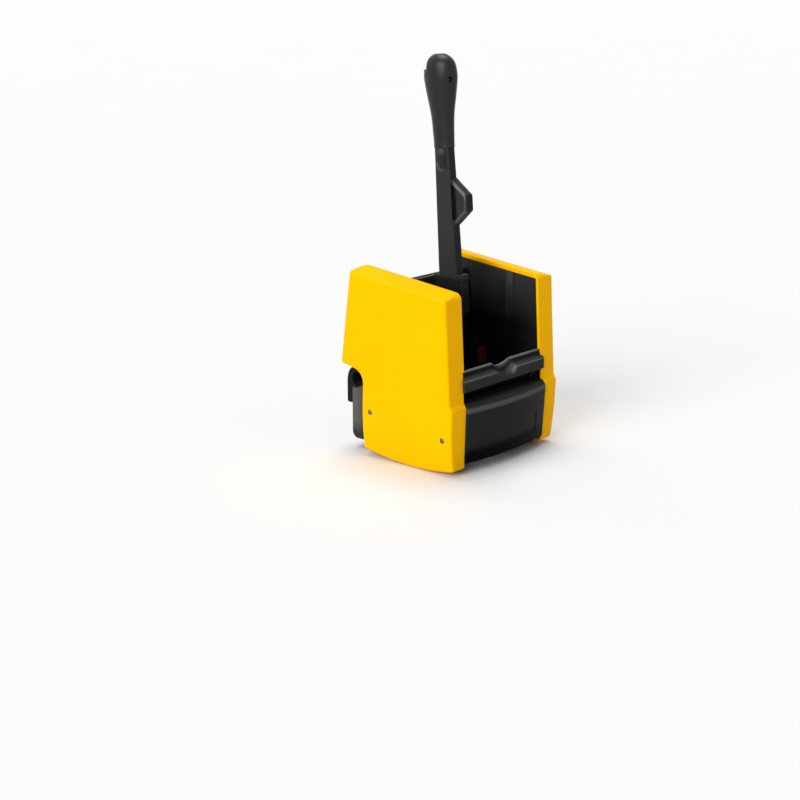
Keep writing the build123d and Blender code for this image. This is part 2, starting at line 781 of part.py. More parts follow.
# Fixed front jaw: a sloping plate with drain slots, hung from a hollow ledge
with BuildPart() as front_jaw:
    with BuildSketch(Plane.YZ.offset(-inner_half)) as plate_profile:
        with BuildLine():
            Polyline(PLATE_TOP, RIDGE_BACK, RIDGE, PLATE_UNDER, PLATE_HEEL, PLATE_FOOT, close=True)
        make_face()
        for corner in (RIDGE, RIDGE_BACK):
            fillet(plate_profile.vertices().sort_by_distance(corner)[0], ridge_radius)
    extrude(amount=inner_width)
    with BuildSketch(Plane.YZ.offset(-ledge_half)) as ledge_profile:
        with BuildLine():
            Polyline(
                RIDGE_BACK,
                RIDGE,
                LEDGE_KNEE,
                LEDGE_FRONT,
                LIP_FOOT,
                LIP_INNER,
                LEDGE_UNDER,
                PLATE_UNDER,
                close=True,
            )
        make_face()
        for corner, radius in LEDGE_CORNERS:
            fillet(ledge_profile.vertices().sort_by_distance(corner)[0], radius)
    extrude(amount=2 * ledge_half)
    with BuildSketch(Plane.YZ.offset(-lip_half)) as lip_profile:
        with BuildLine():
            Polyline(LEDGE_FRONT, LIP_FOOT, LIP_BACK, LIP_BACK_TOP, close=True)
        make_face()
        for corner, radius in LIP_CORNERS:
            fillet(lip_profile.vertices().sort_by_distance(corner)[0], radius)
    extrude(amount=2 * lip_half)
    with BuildSketch(Plane.YZ.offset(-core_half)):
        with BuildLine():
            Polyline(PLATE_UNDER, LEDGE_UNDER, LIP_INNER, CORE_FOOT, close=True)
        make_face()
    extrude(amount=2 * core_half)
    for x in GUSSETS:
        with BuildSketch(Plane.YZ.offset(x - jaw_rib / 2)):
            with BuildLine():
                Polyline(PLATE_UNDER, LEDGE_UNDER, LIP_INNER, CORE_FOOT, close=True)
            make_face()
        extrude(amount=jaw_rib)
    for x in (inner_half - flange, -inner_half):
        with BuildSketch(Plane.YZ.offset(x)):
            with BuildLine():
                Polyline(CHEEK_TOP, CHEEK_FRONT, CHEEK_LOW, CHEEK_FOOT, close=True)
            make_face()
        extrude(amount=flange)
    with BuildSketch(fixed_face):
        with GridLocations(fixed_slot_pitch, drain_slot_length + drain_slot_width, fixed_slot_count, 2):
            SlotOverall(drain_slot_length, drain_slot_width, rotation=90)
    extrude(amount=-fixed_wall, mode=Mode.SUBTRACT)
    with BuildSketch(notch_section) as notch_mouth:
        Circle(handle_notch_radius)
    extrude(notch_mouth.sketch, amount=handle_notch_radius, dir=notch_way, mode=Mode.SUBTRACT)
    extrude(notch_mouth.sketch, amount=-handle_notch_radius, mode=Mode.SUBTRACT)
    for y, z in CHEEK_SCREWS:
        cut_hole(seat((inner_half, y, z), OUT), flange)
        cut_hole(seat((-inner_half, y, z), LEFT), flange)
finish(front_jaw, "front_jaw")

# Front apron: a bulged shell with a rounded shoulder and a bare shallow panel, leaning forward
with BuildPart() as apron_hollow:
    with BuildSketch(Plane.XY.offset(apron_bottom_z)):
        with Locations((0, apron_centre_y)):
            Circle(apron_radius - apron_wall)
        with Locations((0, apron_back_y)):
            Rectangle(2 * (inner_half - flange), 6 * apron_return, mode=Mode.INTERSECT)
    extrude(amount=apron_slant * (apron_height - apron_wall), dir=apron_way)
    inner_shoulder = apron_hollow.faces().sort_by(Axis.Z)[-1].edges().sort_by(Axis.Y)[0]
    fillet(inner_shoulder, apron_shoulder - apron_wall)
    with Locations((0, apron_back_y - apron_wall, apron_bottom_z)):
        Box(2 * (inner_half - flange), 2 * apron_return, apron_height - apron_wall, align=(Align.CENTER, Align.MIN, Align.MIN))

with BuildPart() as front_apron:
    with BuildSketch(Plane.XY.offset(apron_bottom_z)):
        with BuildLine():
            ThreePointArc((-apron_half, apron_low_y), (0, apron_front_y), (apron_half, apron_low_y))
            Polyline(
                (apron_half, apron_low_y),
                (apron_half, apron_low_y + apron_rake),
                (-apron_half, apron_low_y + apron_rake),
                (-apron_half, apron_low_y),
            )
        make_face()
    extrude(amount=apron_slant * apron_height, dir=apron_way)
    shoulder = front_apron.faces().sort_by(Axis.Z)[-1].edges().sort_by(Axis.Y)[0]
    fillet(shoulder, apron_shoulder)
    with BuildSketch(Plane.XY.offset(apron_bottom_z)):
        with BuildLine():
            Polyline(
                (apron_half, apron_low_y),
                (apron_half, apron_step_y),
                (inner_half, apron_step_y),
                (inner_half, apron_back_y),
                (-inner_half, apron_back_y),
                (-inner_half, apron_step_y),
                (-apron_half, apron_step_y),
                (-apron_half, apron_low_y),
                close=True,
            )
        make_face()
    extrude(amount=apron_height)
    add(apron_hollow.part, mode=Mode.SUBTRACT)
    with BuildSketch(Plane.YZ.offset(-upstand_half)):
        with BuildLine():
            Polyline(
                (apron_upstand_y, apron_top_z - apron_wall),
                (apron_upstand_y, LIP_INNER[1] - gap),
                (apron_upstand_y + apron_upstand, LIP_INNER[1] - gap),
                (apron_upstand_y + apron_upstand, apron_top_z - apron_wall),
                close=True,
            )
        make_face()
    extrude(amount=2 * upstand_half)
    for x in (inner_half - flange, -inner_half):
        with BuildSketch(Plane.YZ.offset(x)):
            with Locations(((apron_step_y + apron_tab_y) / 2, (apron_tab_top_z + apron_tab_bottom_z) / 2)):
                Rectangle(apron_tab_y - apron_step_y, apron_tab_top_z - apron_tab_bottom_z)
        extrude(amount=flange)
    with BuildSketch(Plane.XY.offset(apron_panel_z)):
        with Locations((0, apron_front_y + panel_shift)):
            Rectangle(apron_panel_width, 2 * apron_bulge)
        with Locations((0, apron_centre_y + panel_shift)):
            Circle(apron_radius - apron_panel_depth, mode=Mode.SUBTRACT)
    extrude(amount=apron_slant * apron_panel_height, dir=apron_way, mode=Mode.SUBTRACT)
    for y, z in APRON_SCREWS:
        cut_hole(seat((inner_half, y, z), OUT), flange)
        cut_hole(seat((-inner_half, y, z), LEFT), flange)
finish(front_apron, "front_apron")

# Screws that hold the panel, the front jaw and the apron between the side frames
with BuildPart() as frame_screws:
    for y, z in FRAME_SCREWS:
        add_screw(seat((wall_out, y, z), OUT), frame_wall + gap + screw_grip)
    mirror(about=Plane.YZ)
finish(frame_screws, "frame_screws")

# Tube clamp: two brackets on the rear panel, each with a bolted strap
strap_high_seat = seat((bracket_mid_x, gap + strap_ear, strap_bolt_high), BACK)
strap_low_seat = seat((bracket_mid_x, strap_leg_y + strap_leg, strap_bolt_low), BACK)

with BuildPart() as tube_bracket:
    with BuildSketch(Plane.YZ.offset(bracket_inner_x)) as bracket_profile:
        with BuildLine():
            Polyline(
                (-gap, bracket_shelf_z),
                (bracket_back_y, bracket_shelf_z),
                (bracket_back_y, bracket_bottom_z),
                (bracket_front_y, bracket_bottom_z),
                (bracket_front_y, bracket_ear_z - bracket_slope),
                (-bracket_ear, bracket_ear_z),
                (-gap, bracket_ear_z),
                close=True,
            )
        make_face()
        heel = (bracket_back_y, bracket_bottom_z)
        fillet(bracket_profile.vertices().sort_by_distance(heel)[0], bracket_corner)
        Circle(bore_radius, mode=Mode.SUBTRACT)
    extrude(amount=bracket_width)
    for z in bracket_screw_heights:
        cut_hole(seat((bracket_screw_x, bracket_front_y, z), FRONT), screw_grip + gap)
    cut_hole(seat((bracket_mid_x, 0, strap_bolt_high), BACK), bolt_grip, bolt_bore)
    cut_hole(seat((bracket_mid_x, strap_leg_y, strap_bolt_low), BACK), bolt_grip, bolt_bore)
finish_pair(tube_bracket, "tube_bracket")

with BuildPart() as tube_strap:
    with BuildSketch(Plane.YZ.offset(bracket_inner_x)) as strap_profile:
        Circle(bore_radius + strap_ring)
        with Locations((gap + strap_ear / 2, bracket_ear_z / 2)):
            Rectangle(strap_ear, bracket_ear_z)
        with Locations((strap_leg_y + strap_leg / 2, -strap_leg_drop / 2)):
            Rectangle(strap_leg, strap_leg_drop)
        Circle(bore_radius, mode=Mode.SUBTRACT)
        with Locations((gap - 2 * strap_leg_drop, 0)):
            Rectangle(4 * strap_leg_drop, 4 * strap_leg_drop, mode=Mode.SUBTRACT)
        with Locations((strap_leg_y - strap_leg_drop, bracket_shelf_z + gap - strap_leg_drop)):
            Rectangle(2 * strap_leg_drop, 2 * strap_leg_drop, mode=Mode.SUBTRACT)
        fillet(strap_profile.vertices().group_by(Axis.Y)[0].sort_by(Axis.X)[-1], strap_corner)
    extrude(amount=bracket_width)
    cut_hole(strap_high_seat, strap_ear, bolt_bore)
    with Locations(strap_high_seat):
        Cylinder(bolt_head_radius + gap, strap_ring, align=MIN, mode=Mode.SUBTRACT)
    cut_hole(strap_low_seat, strap_leg, bolt_bore)
finish_pair(tube_strap, "tube_strap")

with BuildPart() as strap_bolts:
    add_bolt(strap_high_seat, strap_ear + bolt_grip - gap)
    add_bolt(strap_low_seat, strap_leg + bolt_grip - gap)
    mirror(about=Plane.YZ)
finish(strap_bolts, "strap_bolts")

with BuildPart() as bracket_screws:
    for z in bracket_screw_heights:
        add_screw(seat((bracket_screw_x, panel_front_y, z), FRONT), panel_wall + gap + screw_grip)
    mirror(about=Plane.YZ)
finish(bracket_screws, "bracket_screws")

# Half of the lever socket in front of the moving jaw, cut level for the lever to stand on
with BuildPart() as lever_socket:
    with BuildSketch(jaw_side(socket_half)):
        with BuildLine():
            Polyline(
                (jaw_face - jaw_skin / 2, socket_root),
                (jaw_face, socket_root),
                (lever_n(socket_nose) + socket_front, socket_nose),
                (lever_n(socket_top) + socket_front, socket_top),
                (lever_n(socket_top) - socket_back, socket_top),
                (lever_n(socket_web_top) - socket_back, socket_web_top),
                (jaw_face - jaw_skin / 2, socket_web_top),
                close=True,
            )
        make_face()
    extrude(amount=socket_half)
    split(bisect_by=lever_section(-gap), keep=Keep.BOTTOM)
    with BuildSketch(lever_side(socket_half + socket_collar_proud)):
        with Locations(((socket_front - socket_back) / 2, -gap - socket_collar / 2)):
            Rectangle(socket_front + socket_back + 2 * socket_collar_proud, socket_collar)
    extrude(amount=socket_half + socket_collar_proud)
    rim_edges = lever_socket.faces().sort_by(Axis(lever_base, lever_up))[-1].edges()
    fillet(rim_edges.sort_by(Axis.X)[1:], socket_edge_radius)

# Moving jaw: a ribbed plate on a long hub, with the lever socket in front; one half, then mirrored
with BuildPart() as moving_jaw:
    with BuildSketch(jaw_side(jaw_half)):
        with Locations((jaw_face - jaw_skin / 2, (jaw_low + jaw_length) / 2)):
            Rectangle(jaw_skin, jaw_length - jaw_low)
        with Locations((jaw_bar_back / 2 + jaw_face / 2, jaw_length - jaw_bar / 2)):
            Rectangle(jaw_face - jaw_bar_back, jaw_bar)
        for height in jaw_cross_ribs:
            with Locations((jaw_face / 2, height)):
                Rectangle(jaw_face, jaw_rib)
        Circle(hub_radius)
    extrude(amount=jaw_half)
    for x in jaw_rib_places:
        with BuildSketch(jaw_side(x + jaw_rib / 2)):
            with BuildLine():
                Polyline(
                    (jaw_face - jaw_skin / 2, jaw_low),
                    (jaw_face - jaw_skin / 2, jaw_length),
                    (0, jaw_length),
                    (-jaw_rib_low, hub_radius * 4),
                    (-jaw_rib_low, jaw_low),
                    close=True,
                )
            make_face()
        extrude(amount=jaw_rib)
    with BuildSketch(jaw_side(buffer_x + buffer_pad / 2)):
        with Locations((jaw_face / 4, buffer_height)):
            Rectangle(jaw_face / 2, buffer_pad)
    extrude(amount=buffer_pad)
    with BuildSketch(jaw_side(jaw_half)):
        with BuildLine():
            Polyline(
                (jaw_face - jaw_skin / 2, glide_base),
                (carrier_face, glide_base),
                (carrier_face, ramp_base),
                (jaw_face + glide_depth, ramp_base),
                (jaw_face, ramp_base + ramp_height),
                (jaw_face - jaw_skin / 2, ramp_base + ramp_height),
                close=True,
            )
        make_face()
    extrude(amount=jaw_half - glide_inner_x)
    add(lever_socket.part)
    with BuildSketch(jaw_front(jaw_face)):
        with Locations(*[(x, v) for x in jaw_slot_places for v in jaw_slot_rows]):
            SlotOverall(drain_slot_length, drain_slot_width, rotation=90)
    extrude(amount=-jaw_skin, mode=Mode.SUBTRACT)
    cut_hole(seat(pivot + Vector(jaw_half, 0, 0), OUT), jaw_half, axle_bore)
    cut_hole(seat(key_place - jaw_forward * hub_radius, -jaw_forward), 2 * hub_radius, key_bore)
    cut_hole(seat(glide_screw_place, -jaw_forward), carrier_depth)
    with BuildSketch(lever_section(-lever_tail - gap)):
        RectangleRounded(tail_width + 2 * lever_fit, lever_depth + 2 * lever_fit, lever_corner)
    extrude(amount=2 * lever_tail, mode=Mode.SUBTRACT)
    for place in LEVER_BOLTS:
        cut_hole(seat(place + Vector(socket_half, 0, 0), OUT), socket_half, bolt_bore)
    mirror(about=Plane.YZ)
finish(moving_jaw, "moving_jaw")

# Lever arm with its lug, side pads and the tang for the grip
with BuildPart() as lever_arm:
    with BuildSketch(lever_section(-lever_tail)):
        RectangleRounded(tail_width, lever_depth, lever_corner)
    extrude(amount=lever_tail)
    with BuildSketch(lever_section(0)):
        RectangleRounded(lever_width, lever_depth, lever_corner)
    extrude(amount=lever_straight)
    with BuildSketch(lever_section(lever_straight)):
        RectangleRounded(lever_width, lever_depth, lever_corner)
    with BuildSketch(lever_section(lever_length)):
        RectangleRounded(lever_top_width, lever_top_depth, lever_corner)
    loft()
    with BuildSketch(lever_section(lever_length)):
        RectangleRounded(tang_width, tang_depth, lever_corner)
    extrude(amount=tang_length)
    with BuildSketch(lever_side(lug_width / 2)):
        add(lug_profile(0))
    extrude(amount=lug_width)
    for x in (lug_width / 2, lug_recess - lug_width / 2):
        with BuildSketch(lever_side(x)):
            add(lug_profile(lug_rim))
        extrude(amount=lug_recess, mode=Mode.SUBTRACT)
    with BuildSketch(lever_side(lever_width)):
        with Locations((lug_slot_q, (lug_top + lug_bottom) / 2)):
            SlotOverall(lug_slot_length, lug_slot, rotation=90)
    extrude(amount=2 * lever_width, mode=Mode.SUBTRACT)
    with BuildSketch(lever_side(lever_width / 2 + lever_pad)):
        with Locations((0, lever_length - lever_pad_length)):
            Circle(lever_pad_width / 2)
        with Locations((0, lever_length - lever_pad_length / 2)):
            Rectangle(lever_pad_width, lever_pad_length)
    extrude(amount=lever_width + 2 * lever_pad)
    for place in LEVER_BOLTS:
        cut_hole(seat(place + Vector(lever_width, 0, 0), OUT), 2 * lever_width, bolt_bore)
    cut_hole(seat(grip_screw_place, grip_screw_way), grip_screw_length + gap)
finish(lever_arm, "lever_arm")

# Grip
with BuildPart() as lever_grip:
    for share, half_depth, half_width in GRIP_SECTIONS:
        with BuildSketch(lever_section(lever_length + gap + share * grip_length)):
            Ellipse(half_width, half_depth)
    loft()
    with BuildSketch(lever_section(lever_length)):
        RectangleRounded(tang_width + 2 * lever_fit, tang_depth + 2 * lever_fit, lever_corner)
    extrude(amount=tang_length + gap, mode=Mode.SUBTRACT)
    with BuildSketch(lever_section(lever_length + grip_ledge)):
        with Locations((0, grip_ledge_back + lever_depth / 2)):
            Rectangle(2 * lever_depth, lever_depth)
    extrude(amount=grip_length, mode=Mode.SUBTRACT)
    cut_hole(seat(grip_screw_place, grip_screw_way), lever_depth / 2)
    cut_seat(seat(grip_screw_place, grip_screw_way))
finish(lever_grip, "lever_grip")

with BuildPart() as grip_screw:
    add_screw(seat(grip_screw_place, grip_screw_way), grip_screw_length)
finish(grip_screw, "grip_screw")

# Cross bolts that hold the lever in the socket
with BuildPart() as lever_bolts:
    for place in LEVER_BOLTS:
        add_bolt(seat(place - Vector(socket_half, 0, 0), LEFT), 2 * socket_half + nut_height + gap)
finish(lever_bolts, "lever_bolts")

with BuildPart() as lever_nuts:
    for place in LEVER_BOLTS:
        with BuildSketch(seat(place + Vector(socket_half, 0, 0), OUT)):
            RegularPolygon(nut_radius, 6)
            Circle(bolt_radius + running_clearance, mode=Mode.SUBTRACT)
        extrude(amount=nut_height)
finish(lever_nuts, "lever_nuts")

# Axle, its bushes in the side frames, clips, cranks and keys
with BuildPart() as axle:
    with Locations(seat(pivot, OUT)):
        Cylinder(axle_radius, 2 * axle_half)
    with BuildSketch(seat(pivot + Vector(clip_x - gap / 2, 0, 0), OUT)):
        Circle(2 * axle_radius)
        Circle(axle_radius - groove_depth, mode=Mode.SUBTRACT)
    extrude(amount=clip_thickness + gap, mode=Mode.SUBTRACT)
    cut_hole(seat(key_place - jaw_forward * axle_radius, -jaw_forward), 2 * axle_radius, key_bore)
    cut_hole(seat(pivot + Vector(crank_mid_x, 0, axle_radius), UP), 2 * axle_radius, key_bore)
    mirror(about=Plane.YZ, mode=Mode.INTERSECT)
finish(axle, "axle")

with BuildPart() as axle_keys:
    with Locations(seat(key_place, jaw_forward)):
        Cylinder(key_radius, 2 * hub_radius - 4 * gap)
    mirror(about=Plane.YZ)
finish(axle_keys, "axle_keys")

with BuildPart() as axle_bush:
    add_boss(seat((wall_in - bush_flange, pivot_y, pivot_z), OUT), bush_flange_radius, bush_flange)
    add_boss(seat((wall_in, pivot_y, pivot_z), OUT), bush_radius, frame_wall + axle_boss)
    cut_hole(seat((boss_x, pivot_y, pivot_z), OUT), boss_x - wall_in + bush_flange, axle_bore)
finish_pair(axle_bush, "axle_bush")

with BuildPart() as crank:
    with BuildSketch(Plane.YZ.offset(crank_x)):
        with Locations((pivot_y - crank_length / 2, pivot_z)):
            SlotCenterToCenter(crank_length, 2 * crank_half)
        with Locations((pivot_y, pivot_z)):
            Circle(crank_hub_radius)
            Circle(axle_bore, mode=Mode.SUBTRACT)
        with Locations((pin_y, pivot_z)):
            Circle(pin_radius + running_clearance, mode=Mode.SUBTRACT)
    extrude(amount=crank_thickness)
    cut_hole(seat((crank_mid_x, pivot_y, pivot_z + crank_hub_radius), UP), 2 * crank_hub_radius, key_bore)
finish_pair(crank, "crank")

with BuildPart() as crank_keys:
    with Locations((crank_mid_x, pivot_y, pivot_z)):
        Cylinder(key_radius, 2 * crank_hub_radius - gap)
    mirror(about=Plane.YZ)
finish(crank_keys, "crank_keys")

with BuildPart() as axle_clips:
    with BuildSketch(Plane.YZ.offset(clip_x)):
        with Locations((pivot_y, pivot_z)):
            Circle(clip_radius)
            Circle(axle_radius - groove_depth + running_clearance, mode=Mode.SUBTRACT)
        with Locations((pivot_y + clip_radius, pivot_z)):
            Rectangle(2 * clip_radius, axle_radius, mode=Mode.SUBTRACT)
    extrude(amount=clip_thickness)
    mirror(about=Plane.YZ)
finish(axle_clips, "axle_clips")

with BuildPart() as spring_pins:
    add_boss(seat((crank_x, pin_y, pivot_z), OUT), pin_radius, pin_end_x - crank_x)
    mirror(about=Plane.YZ)
finish(spring_pins, "spring_pins")

with BuildPart() as anchor_pins:
    add_boss(seat((wall_out, pin_y, anchor_z), OUT), pin_radius, pin_end_x - wall_out)
    mirror(about=Plane.YZ)
finish(anchor_pins, "anchor_pins")

# Glides at the edges of the moving jaw
with BuildPart() as jaw_glide:
    with BuildSketch(jaw_side(glide_outer_x)):
        with Locations((carrier_face + gap + glide_thickness / 2, glide_base + glide_height / 2)):
            RectangleRounded(glide_thickness, glide_height, gap * 4)
    extrude(amount=glide_outer_x - glide_inner_x)
    cut_hole(seat(glide_screw_place + jaw_forward * carrier_depth, -jaw_forward), glide_screw_grip + 2 * gap)
finish_pair(jaw_glide, "jaw_glide")

with BuildPart() as glide_screws:
    add_screw(seat(glide_screw_place, -jaw_forward), carrier_depth + gap + glide_screw_grip)
    mirror(about=Plane.YZ)
finish(glide_screws, "glide_screws")

# Rubber buffers that the jaw rests on
with BuildPart() as rest_buffers:
    with Locations(buffer_place + Vector(buffer_x, 0, 0)):
        Sphere(buffer_radius)
    with Locations(seat((buffer_x, panel_front_y, buffer_z), FRONT)):
        Cylinder(buffer_radius, panel_front_y - buffer_y, align=MIN)
        Cylinder(stem_radius, panel_wall, align=MAX)
    split(bisect_by=Plane(origin=(0, panel_front_y, 0), z_dir=FRONT), keep=Keep.BOTH)
    mirror(about=Plane.YZ)
finish(rest_buffers, "rest_buffers")

# Return springs: a coil with a hook at each end
with BuildPart() as return_spring:
    coil_axis = Axis((coil_x, pin_y, coil_low_z), UP)
    turns = Helix(spring_pitch, coil_height, spring_radius, coil_axis.position, lefthand=True)
    with BuildLine() as coil:
        add(turns.rotate(coil_axis, 90))
    with BuildSketch(Plane(origin=coil.line @ 0, z_dir=coil.line % 0)):
        Circle(spring_wire / 2)
    sweep(path=coil.line, is_frenet=True)
    for side, coil_z, hook_z, pin_z in SPRING_ENDS:
        near_y = pin_y - side * spring_radius
        bend_z = coil_z + side * spring_bend * spring_cos
        with BuildLine() as hook:
            leaving = (-spring_cos, 0, side * spring_sin)
            TangentArc((coil_x, near_y, coil_z), (spring_x, near_y, bend_z), tangent=leaving)
            Line((spring_x, near_y, bend_z), (spring_x, near_y, pin_z))
            far_y = 2 * pin_y - near_y
            ThreePointArc((spring_x, near_y, pin_z), (spring_x, pin_y, hook_z), (spring_x, far_y, pin_z))
        with BuildSketch(Plane(origin=hook.line @ 0, z_dir=hook.line % 0)):
            Circle(spring_wire / 2)
        sweep(path=hook.line)
finish_pair(return_spring, "return_spring")
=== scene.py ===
"""Dresses the vertical mop press: finishes, cut screw heads, smooth-shaded spring wire, studio stage."""

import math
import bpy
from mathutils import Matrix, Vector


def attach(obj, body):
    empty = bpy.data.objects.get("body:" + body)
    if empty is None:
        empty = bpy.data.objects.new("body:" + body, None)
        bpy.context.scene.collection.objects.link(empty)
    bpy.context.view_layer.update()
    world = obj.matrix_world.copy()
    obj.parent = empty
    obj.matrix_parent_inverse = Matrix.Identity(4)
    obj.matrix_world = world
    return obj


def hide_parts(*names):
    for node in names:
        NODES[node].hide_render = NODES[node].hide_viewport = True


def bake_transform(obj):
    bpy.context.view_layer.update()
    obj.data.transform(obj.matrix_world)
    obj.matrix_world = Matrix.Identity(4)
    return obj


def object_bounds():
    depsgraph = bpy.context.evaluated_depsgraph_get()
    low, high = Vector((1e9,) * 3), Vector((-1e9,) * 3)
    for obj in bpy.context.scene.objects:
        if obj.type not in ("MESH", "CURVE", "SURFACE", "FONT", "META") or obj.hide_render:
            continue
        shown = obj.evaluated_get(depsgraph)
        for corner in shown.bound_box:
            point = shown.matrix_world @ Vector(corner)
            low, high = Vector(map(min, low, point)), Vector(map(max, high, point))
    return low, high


bl_info = {
    "name": "Mop Press Dresser",
    "version": (1, 0, 0),
    "blender": (4, 5, 0),
    "location": "3D View > Sidebar > Mop Press",
    "description": "Gives the vertical mop press its finishes, its fasteners and its studio stage",
    "category": "Object",
}

import bmesh
import bpy
import numpy as np
from bpy.props import FloatProperty, FloatVectorProperty, PointerProperty
from mathutils import Vector

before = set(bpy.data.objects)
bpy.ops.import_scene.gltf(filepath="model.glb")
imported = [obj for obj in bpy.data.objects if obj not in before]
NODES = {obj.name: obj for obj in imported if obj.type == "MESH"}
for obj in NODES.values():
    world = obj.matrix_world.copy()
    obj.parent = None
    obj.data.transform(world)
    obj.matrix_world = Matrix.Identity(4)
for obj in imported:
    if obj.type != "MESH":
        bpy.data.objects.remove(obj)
CAD_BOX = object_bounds()

MERGE = 2e-6  # corners of the loose triangles nearer than this are one corner

# Places on the pieces; a pair is where a change starts and where it is complete
LEVER_AXIS = (-0.1078, 0.173)  # Y and Z of a point on the lever's middle line
LEVER_HALF = 0.0193  # half the lever's depth at that point
LEVER_LEAN = math.radians(4.5)
LEVER_TAPER = 0.022  # half its depth lost for each length
LUG_ROOT = (0.0185, 0.024)  # where the lug leaves the lever, in front of the middle line
LUG_NOSE = (0.0425, 0.0445)  # its front face
LUG_FOOT = (0.235, 0.25)  # height of its lower end
LUG_UPPER = (0.292, 0.300)  # height of its upper rim
LUG_RIM = (0.0052, 0.0068)  # the rim on either side of it, from the lever's middle
SLOT_FORWARD = 0.018  # middle of the lug's slot in front of the lever's middle line
SLOT_FOOT = (0.257, 0.260)
SLOT_HEAD = (0.315, 0.318)
PAD_CENTRE = 0.3475  # height of the middle of the round foot of the lever's pads
PAD_RIM = (0.0095, 0.0122)  # from that middle
PAD_SHADE = (-0.011, 0.009)  # the pad's painted shade deepens towards the front
PAD_FACE = (0.0075, 0.0085)  # from the lever's middle to the faces on either side
FOOT_RADIUS = 0.0092  # of the painted highlight, a crescent at the foot of the pad
SCOOP_RISE = 0.023  # of the painted highlight under the grip, above the pad's middle
RIDGE_TOP = 0.047  # height of the ledge's bead
LEDGE_EDGE = 0.0325  # height of the ledge's front edge
LEDGE_FRONT = (-0.2195, -0.2175)  # Y of the ledge's front face
LEDGE_LIP = (-0.2150, -0.2125)  # Y of the lip behind it
BEAD_FRONT = (-0.2100, -0.2086)  # Y of the front of the bead
NOTCH_RADIUS = 0.040
NOTCH_CENTRE = 0.0785  # height of the centre of the notch's arc
FLANK_LEFT = (0.0, 0.018)  # X of the flank of the notch that gets a painted highlight
FLANK_RIGHT = (0.024, 0.034)
CRESCENT_HIGHLIGHT = (0.024, 0.0295)  # X and Z of the painted highlight, a crescent on the lip beside the notch
CRESCENT_HIGHLIGHT_LINE = (0.82, 0.57)  # direction of that crescent
SHOULDER = -0.0135  # height of the apron's rounded shoulder
APRON_FOOT = (-0.084, -0.073)
APRON_UPSTAND = (-0.003, -0.002)
LINER = -0.146  # Y of the front edge of the raised part of the chamber's walls
SEAM = LINER - 0.0148  # Y of the crease at the foot of its slope, which gets painted shade
WALL_SHADE = (0.085, 0.16)  # heights over which the painted shade on the walls fades
WALL_FRONT = (-0.205, -0.165)  # Y over which that painted shade deepens towards the back
JAW_EDGE = (0.165, 0.171)  # height of the moving jaw's top edge, above which no shade is painted
SOCKET_FOOT = (0.139, 0.155)  # height of the foot of the lever's socket
BORE_RIM = (0.0132, 0.0150)  # of the clamp, from its axis
BRACKET_BACK = (-0.034, 0.004)  # Y over which the brackets' painted reflection grows
BRACKET_HEEL = (-0.092, -0.072)  # height of the heel of the brackets

# Grain of the finishes
EDGE_SAMPLES = 6
EDGE_TURN = (0.01, 0.16)  # how far a rounded edge's normal leaves the face's
FLOW_PITCH = 0.16
MOTTLE_PITCH = 0.03
SCRATCH_PITCH = 0.006
DUST_PITCH = 0.0007
LINE_PITCH = 0.0012  # of the drawn lines in steel
SPANGLE_PITCH = 0.0035
SPOT_PITCH = 0.004
WHITE = (1.0, 1.0, 1.0)
BLACK_PLASTIC = {"rough": 0.43, "grain_depth": 0.00007, "scuff": 0.30, "edge_wear_and_highlight": 0.8}

# Fasteners and springs
HEAD_SHARE = 0.75  # what is further from a screw's axis than this share belongs to its head
HEAD_SIDES = 40
HEAD_RINGS = 6
CAP_RINGS = 5
HEAD_DRAW = -0.16  # how far the top of a head is drawn in at its rim
SHANK_SIDES = 24

# Stage
FLOOR_RADIUS = 40.0
FLOOR_GAP = 0.0005
SENSOR = 36.0  # width in millimetres
KEY_SIDE = (-1.0, -0.14, 0.5)  # where the lamps hang
TOP_SIDE = (0.1, 0.2, 1.0)
LAMP_DISTANCE = 3.0


def length(title, text, value):
    return FloatProperty(
        name=title, description=text, default=value, min=0.0, subtype="DISTANCE", unit="LENGTH"
    )


def angle(title, text, degrees):
    return FloatProperty(name=title, description=text, default=math.radians(degrees), subtype="ANGLE")


def strength(title, text, value):
    return FloatProperty(name=title, description=text, default=value, min=0.0)


def colour(title, text, value):
    return FloatVectorProperty(
        name=title, description=text, default=value, size=3, min=0.0, max=1.0, subtype="COLOR"
    )


class PressColours(bpy.types.PropertyGroup):
    """Colours of the finishes, as linear values."""

    covers: colour("Covers", "Yellow moulding of the two side covers", (0.95, 0.48, 0.0004))
    body: colour("Body", "Black moulding of the jaws, the lever and the clamp", (0.029, 0.029, 0.0293))
    walls: colour("Walls", "Black moulding of the chamber's walls", (0.028, 0.028, 0.0282))
    apron: colour("Apron", "Polished black moulding of the front apron", (0.018, 0.018, 0.0182))
    grip: colour("Grip", "Soft black grip on the lever", (0.013, 0.013, 0.0131))
    steel: colour("Steel", "Zinc-plated steel of the axle, the bolts and the springs", (0.56, 0.56, 0.57))
    dark_steel: colour("Dark steel", "Dark passivated steel of the cross-head screws", (0.19, 0.157, 0.110))
    black_steel: colour("Black steel", "Blackened screws in the grip and the glides", (0.05, 0.048, 0.045))
    glides: colour("Glides", "Red glides on the moving jaw", (0.10, 0.017, 0.012))
    buffers: colour("Buffers", "Rubber of the rest buffers", (0.02, 0.02, 0.02))
    bushes: colour("Bushes", "Natural nylon of the axle bushes", (0.62, 0.60, 0.53))
    floor: colour("Floor", "Pale studio floor", (0.75, 0.75, 0.75))


